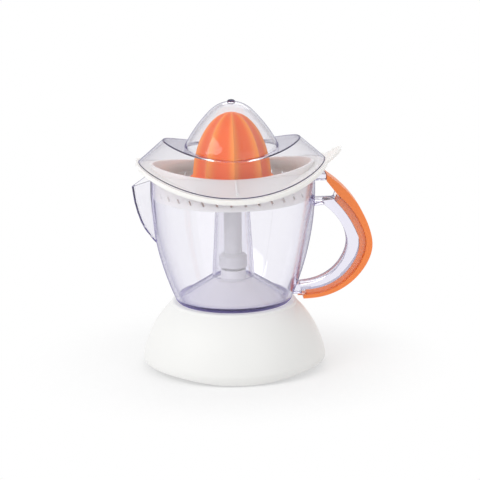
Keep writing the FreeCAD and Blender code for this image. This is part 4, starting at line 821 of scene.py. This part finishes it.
class CITRUS_OT_finishes(bpy.types.Operator):
    """Finishes of the pieces that stay as the CAD made them: shafts, gears, motor, cover, foot and screws"""
    bl_idname = "citrus.finishes"
    bl_label = "Other finishes"

    def execute(self, context):
        nylon = plain_plastic("White nylon", linear("e9e9e6"), 0.34)
        grey = plain_plastic("Grey cover", linear("dcdcda"), 0.5)
        rubber = plain_plastic("Black rubber", linear("26262a"), 0.7)
        black = plain_plastic("Black plastic", linear("2a2a2c"), 0.45)
        steel = worked_metal("Steel", linear("c8c8ca"), 0.22, 240.0)
        magnet = plain_plastic("Magnet", linear("44444a"), 0.4)
        core = stacked_sheet("Core sheets", linear("8d8f94"))
        wire = wound_wire("Copper wire", linear("c8763c"))
        kept = {
            nylon: ("drive_shaft", "shaft_bush", "gear_chassis", "main_gear", "compound_gear", "tower_bush",
                    "switch_plunger"),
            grey: ("bottom_cover",),
            rubber: ("rubber_foot", "cord_gland"),
            black: ("coil_bobbins", "switch_body"),
            steel: ("spindle", "return_spring", "cover_screws", "chassis_screws", "motor_screws", "idler_axle",
                    "axle_clip", "motor_pinion", "rotor_shaft", "motor_bracket"),
            magnet: ("rotor_magnet",),
            core: ("stator_core",),
            wire: ("coil_windings",),
        }
        for material, names in kept.items():
            for name in names:
                node = frame["nodes"][name]
                node.data.materials.clear()
                node.data.materials.append(material)
        return {"FINISHED"}


class CITRUS_OT_stage(bpy.types.Operator):
    """Pale floor, soft studio light and the camera"""
    bl_idname = "citrus.stage"
    bl_label = "Stage"

    def execute(self, context):
        look = context.scene.citrus_stage
        self.floor()
        self.sky(context.scene)
        self.lamp("Key lamp", (-0.85, -0.55, 0.8), 0.7, 6.0)
        self.lamp("Fill lamp", (0.6, -0.9, 0.5), 0.9, 1.6)
        self.lamp("Rim lamp", (0.2, 0.9, 0.9), 0.8, 2.5)
        self.camera(context.scene, look)
        context.scene.view_settings.view_transform = "Standard"
        return {"FINISHED"}

    def floor(self):
        clear_selection()
        bpy.ops.mesh.primitive_circle_add(vertices=128, radius=3.0, fill_type="NGON", location=(0, 0, -0.0002))
        floor = bpy.context.object
        floor.name = "pale_floor"
        bpy.ops.object.transform_apply(location=True, rotation=True, scale=True)
        floor.data.materials.append(self.paper())

    def paper(self):
        """Pale paper that keeps the shadow near the press and is plain white further away."""
        paint = Paint("Pale floor")
        paint.set(Base_Color=(0.9, 0.9, 0.9), Roughness=0.7, Specular_IOR_Level=0.1)
        far = paint.node("ShaderNodeVectorMath", {"operation": "LENGTH"}, {0: paint.place}).outputs["Value"]
        fade = paint.between(far, 0.08, 0.2, 0.55, 1.0)
        white = paint.node("ShaderNodeEmission", {}, {"Color": (1.0, 1.0, 1.0), "Strength": 1.0})
        mix = paint.mixed(fade * paint.rays(*SEEN_RAYS), paint.shader.outputs[0], white.outputs[0])
        paint.feed(paint.output.inputs["Surface"], mix)
        return paint.material

    def sky(self, scene):
        """White as seen, in mirrors and through the clear plastic; softer as light."""
        world = bpy.data.worlds.new("Studio")
        scene.world = world
        world.use_nodes = True
        world.node_tree.nodes.clear()
        air = Nodes(world.node_tree)
        soft, seen = (air.node("ShaderNodeBackground", {}, {"Color": (1.0, 1.0, 1.0), "Strength": strength})
                      for strength in (0.66, 1.0))
        mix = air.mixed(air.rays(*SEEN_RAYS), soft.outputs[0], seen.outputs[0])
        air.node("ShaderNodeOutputWorld", {}, {"Surface": mix})

    def lamp(self, name, place, size, power):
        clear_selection()
        bpy.ops.object.light_add(type="AREA", location=place)
        lamp = bpy.context.object
        lamp.name = name
        lamp.data.size = size
        lamp.data.energy = power
        lamp.visible_glossy = False
        lamp.rotation_euler = (Vector((0, 0, 0.11)) - Vector(place)).to_track_quat("-Z", "Y").to_euler()

    def camera(self, scene, look):
        """Long lens at the photograph's angle."""
        clear_selection()
        bpy.ops.object.camera_add()
        camera = bpy.context.object
        camera.data.lens = 200.0
        camera.data.sensor_width = 36.0
        turn, rise = math.radians(look.azimuth), math.radians(look.elevation)
        back = Vector((math.sin(turn) * math.cos(rise), -math.cos(turn) * math.cos(rise), math.sin(rise)))
        target = Vector((6.2, 0.0, 111.1)) * MM
        camera.location = target + back * look.width * camera.data.lens / camera.data.sensor_width
        facing = (-back).to_track_quat("-Z", "Y").to_matrix()
        lean = Euler((0, 0, math.radians(look.roll))).to_matrix()
        camera.rotation_euler = (facing @ lean).to_euler()
        scene.camera = camera


class CITRUS_PT_panel(bpy.types.Panel):
    """Pieces of the citrus press"""
    bl_idname = "CITRUS_PT_panel"
    bl_label = "Citrus press"
    bl_space_type = "VIEW_3D"
    bl_region_type = "UI"
    bl_category = "Citrus press"

    def draw(self, context):
        for operator in OPERATORS:
            self.layout.operator(operator.bl_idname)


LOOKS = {
    "citrus_base": BaseLook,
    "citrus_jug": JugLook,
    "citrus_bowl": BowlLook,
    "citrus_cone": ConeLook,
    "citrus_lid": LidLook,
    "citrus_stage": StageLook,
}
OPERATORS = (CITRUS_OT_base, CITRUS_OT_jug, CITRUS_OT_handle, CITRUS_OT_bowl, CITRUS_OT_cone, CITRUS_OT_lid,
             CITRUS_OT_finishes, CITRUS_OT_stage)


def register():
    for name, group in LOOKS.items():
        bpy.utils.register_class(group)
        setattr(bpy.types.Scene, name, bpy.props.PointerProperty(type=group))
    for operator in OPERATORS:
        bpy.utils.register_class(operator)
    bpy.utils.register_class(CITRUS_PT_panel)


def unregister():
    bpy.utils.unregister_class(CITRUS_PT_panel)
    for operator in reversed(OPERATORS):
        bpy.utils.unregister_class(operator)
    for name, group in reversed(list(LOOKS.items())):
        delattr(bpy.types.Scene, name)
        bpy.utils.unregister_class(group)


def main():
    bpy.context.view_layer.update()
    register()
    bpy.ops.citrus.base()
    bpy.ops.citrus.jug()
    bpy.ops.citrus.handle()
    bpy.ops.citrus.bowl()
    bpy.ops.citrus.cone()
    bpy.ops.citrus.lid()
    bpy.ops.citrus.finishes()
    bpy.ops.citrus.stage()


if __name__ == "__main__":
    main()
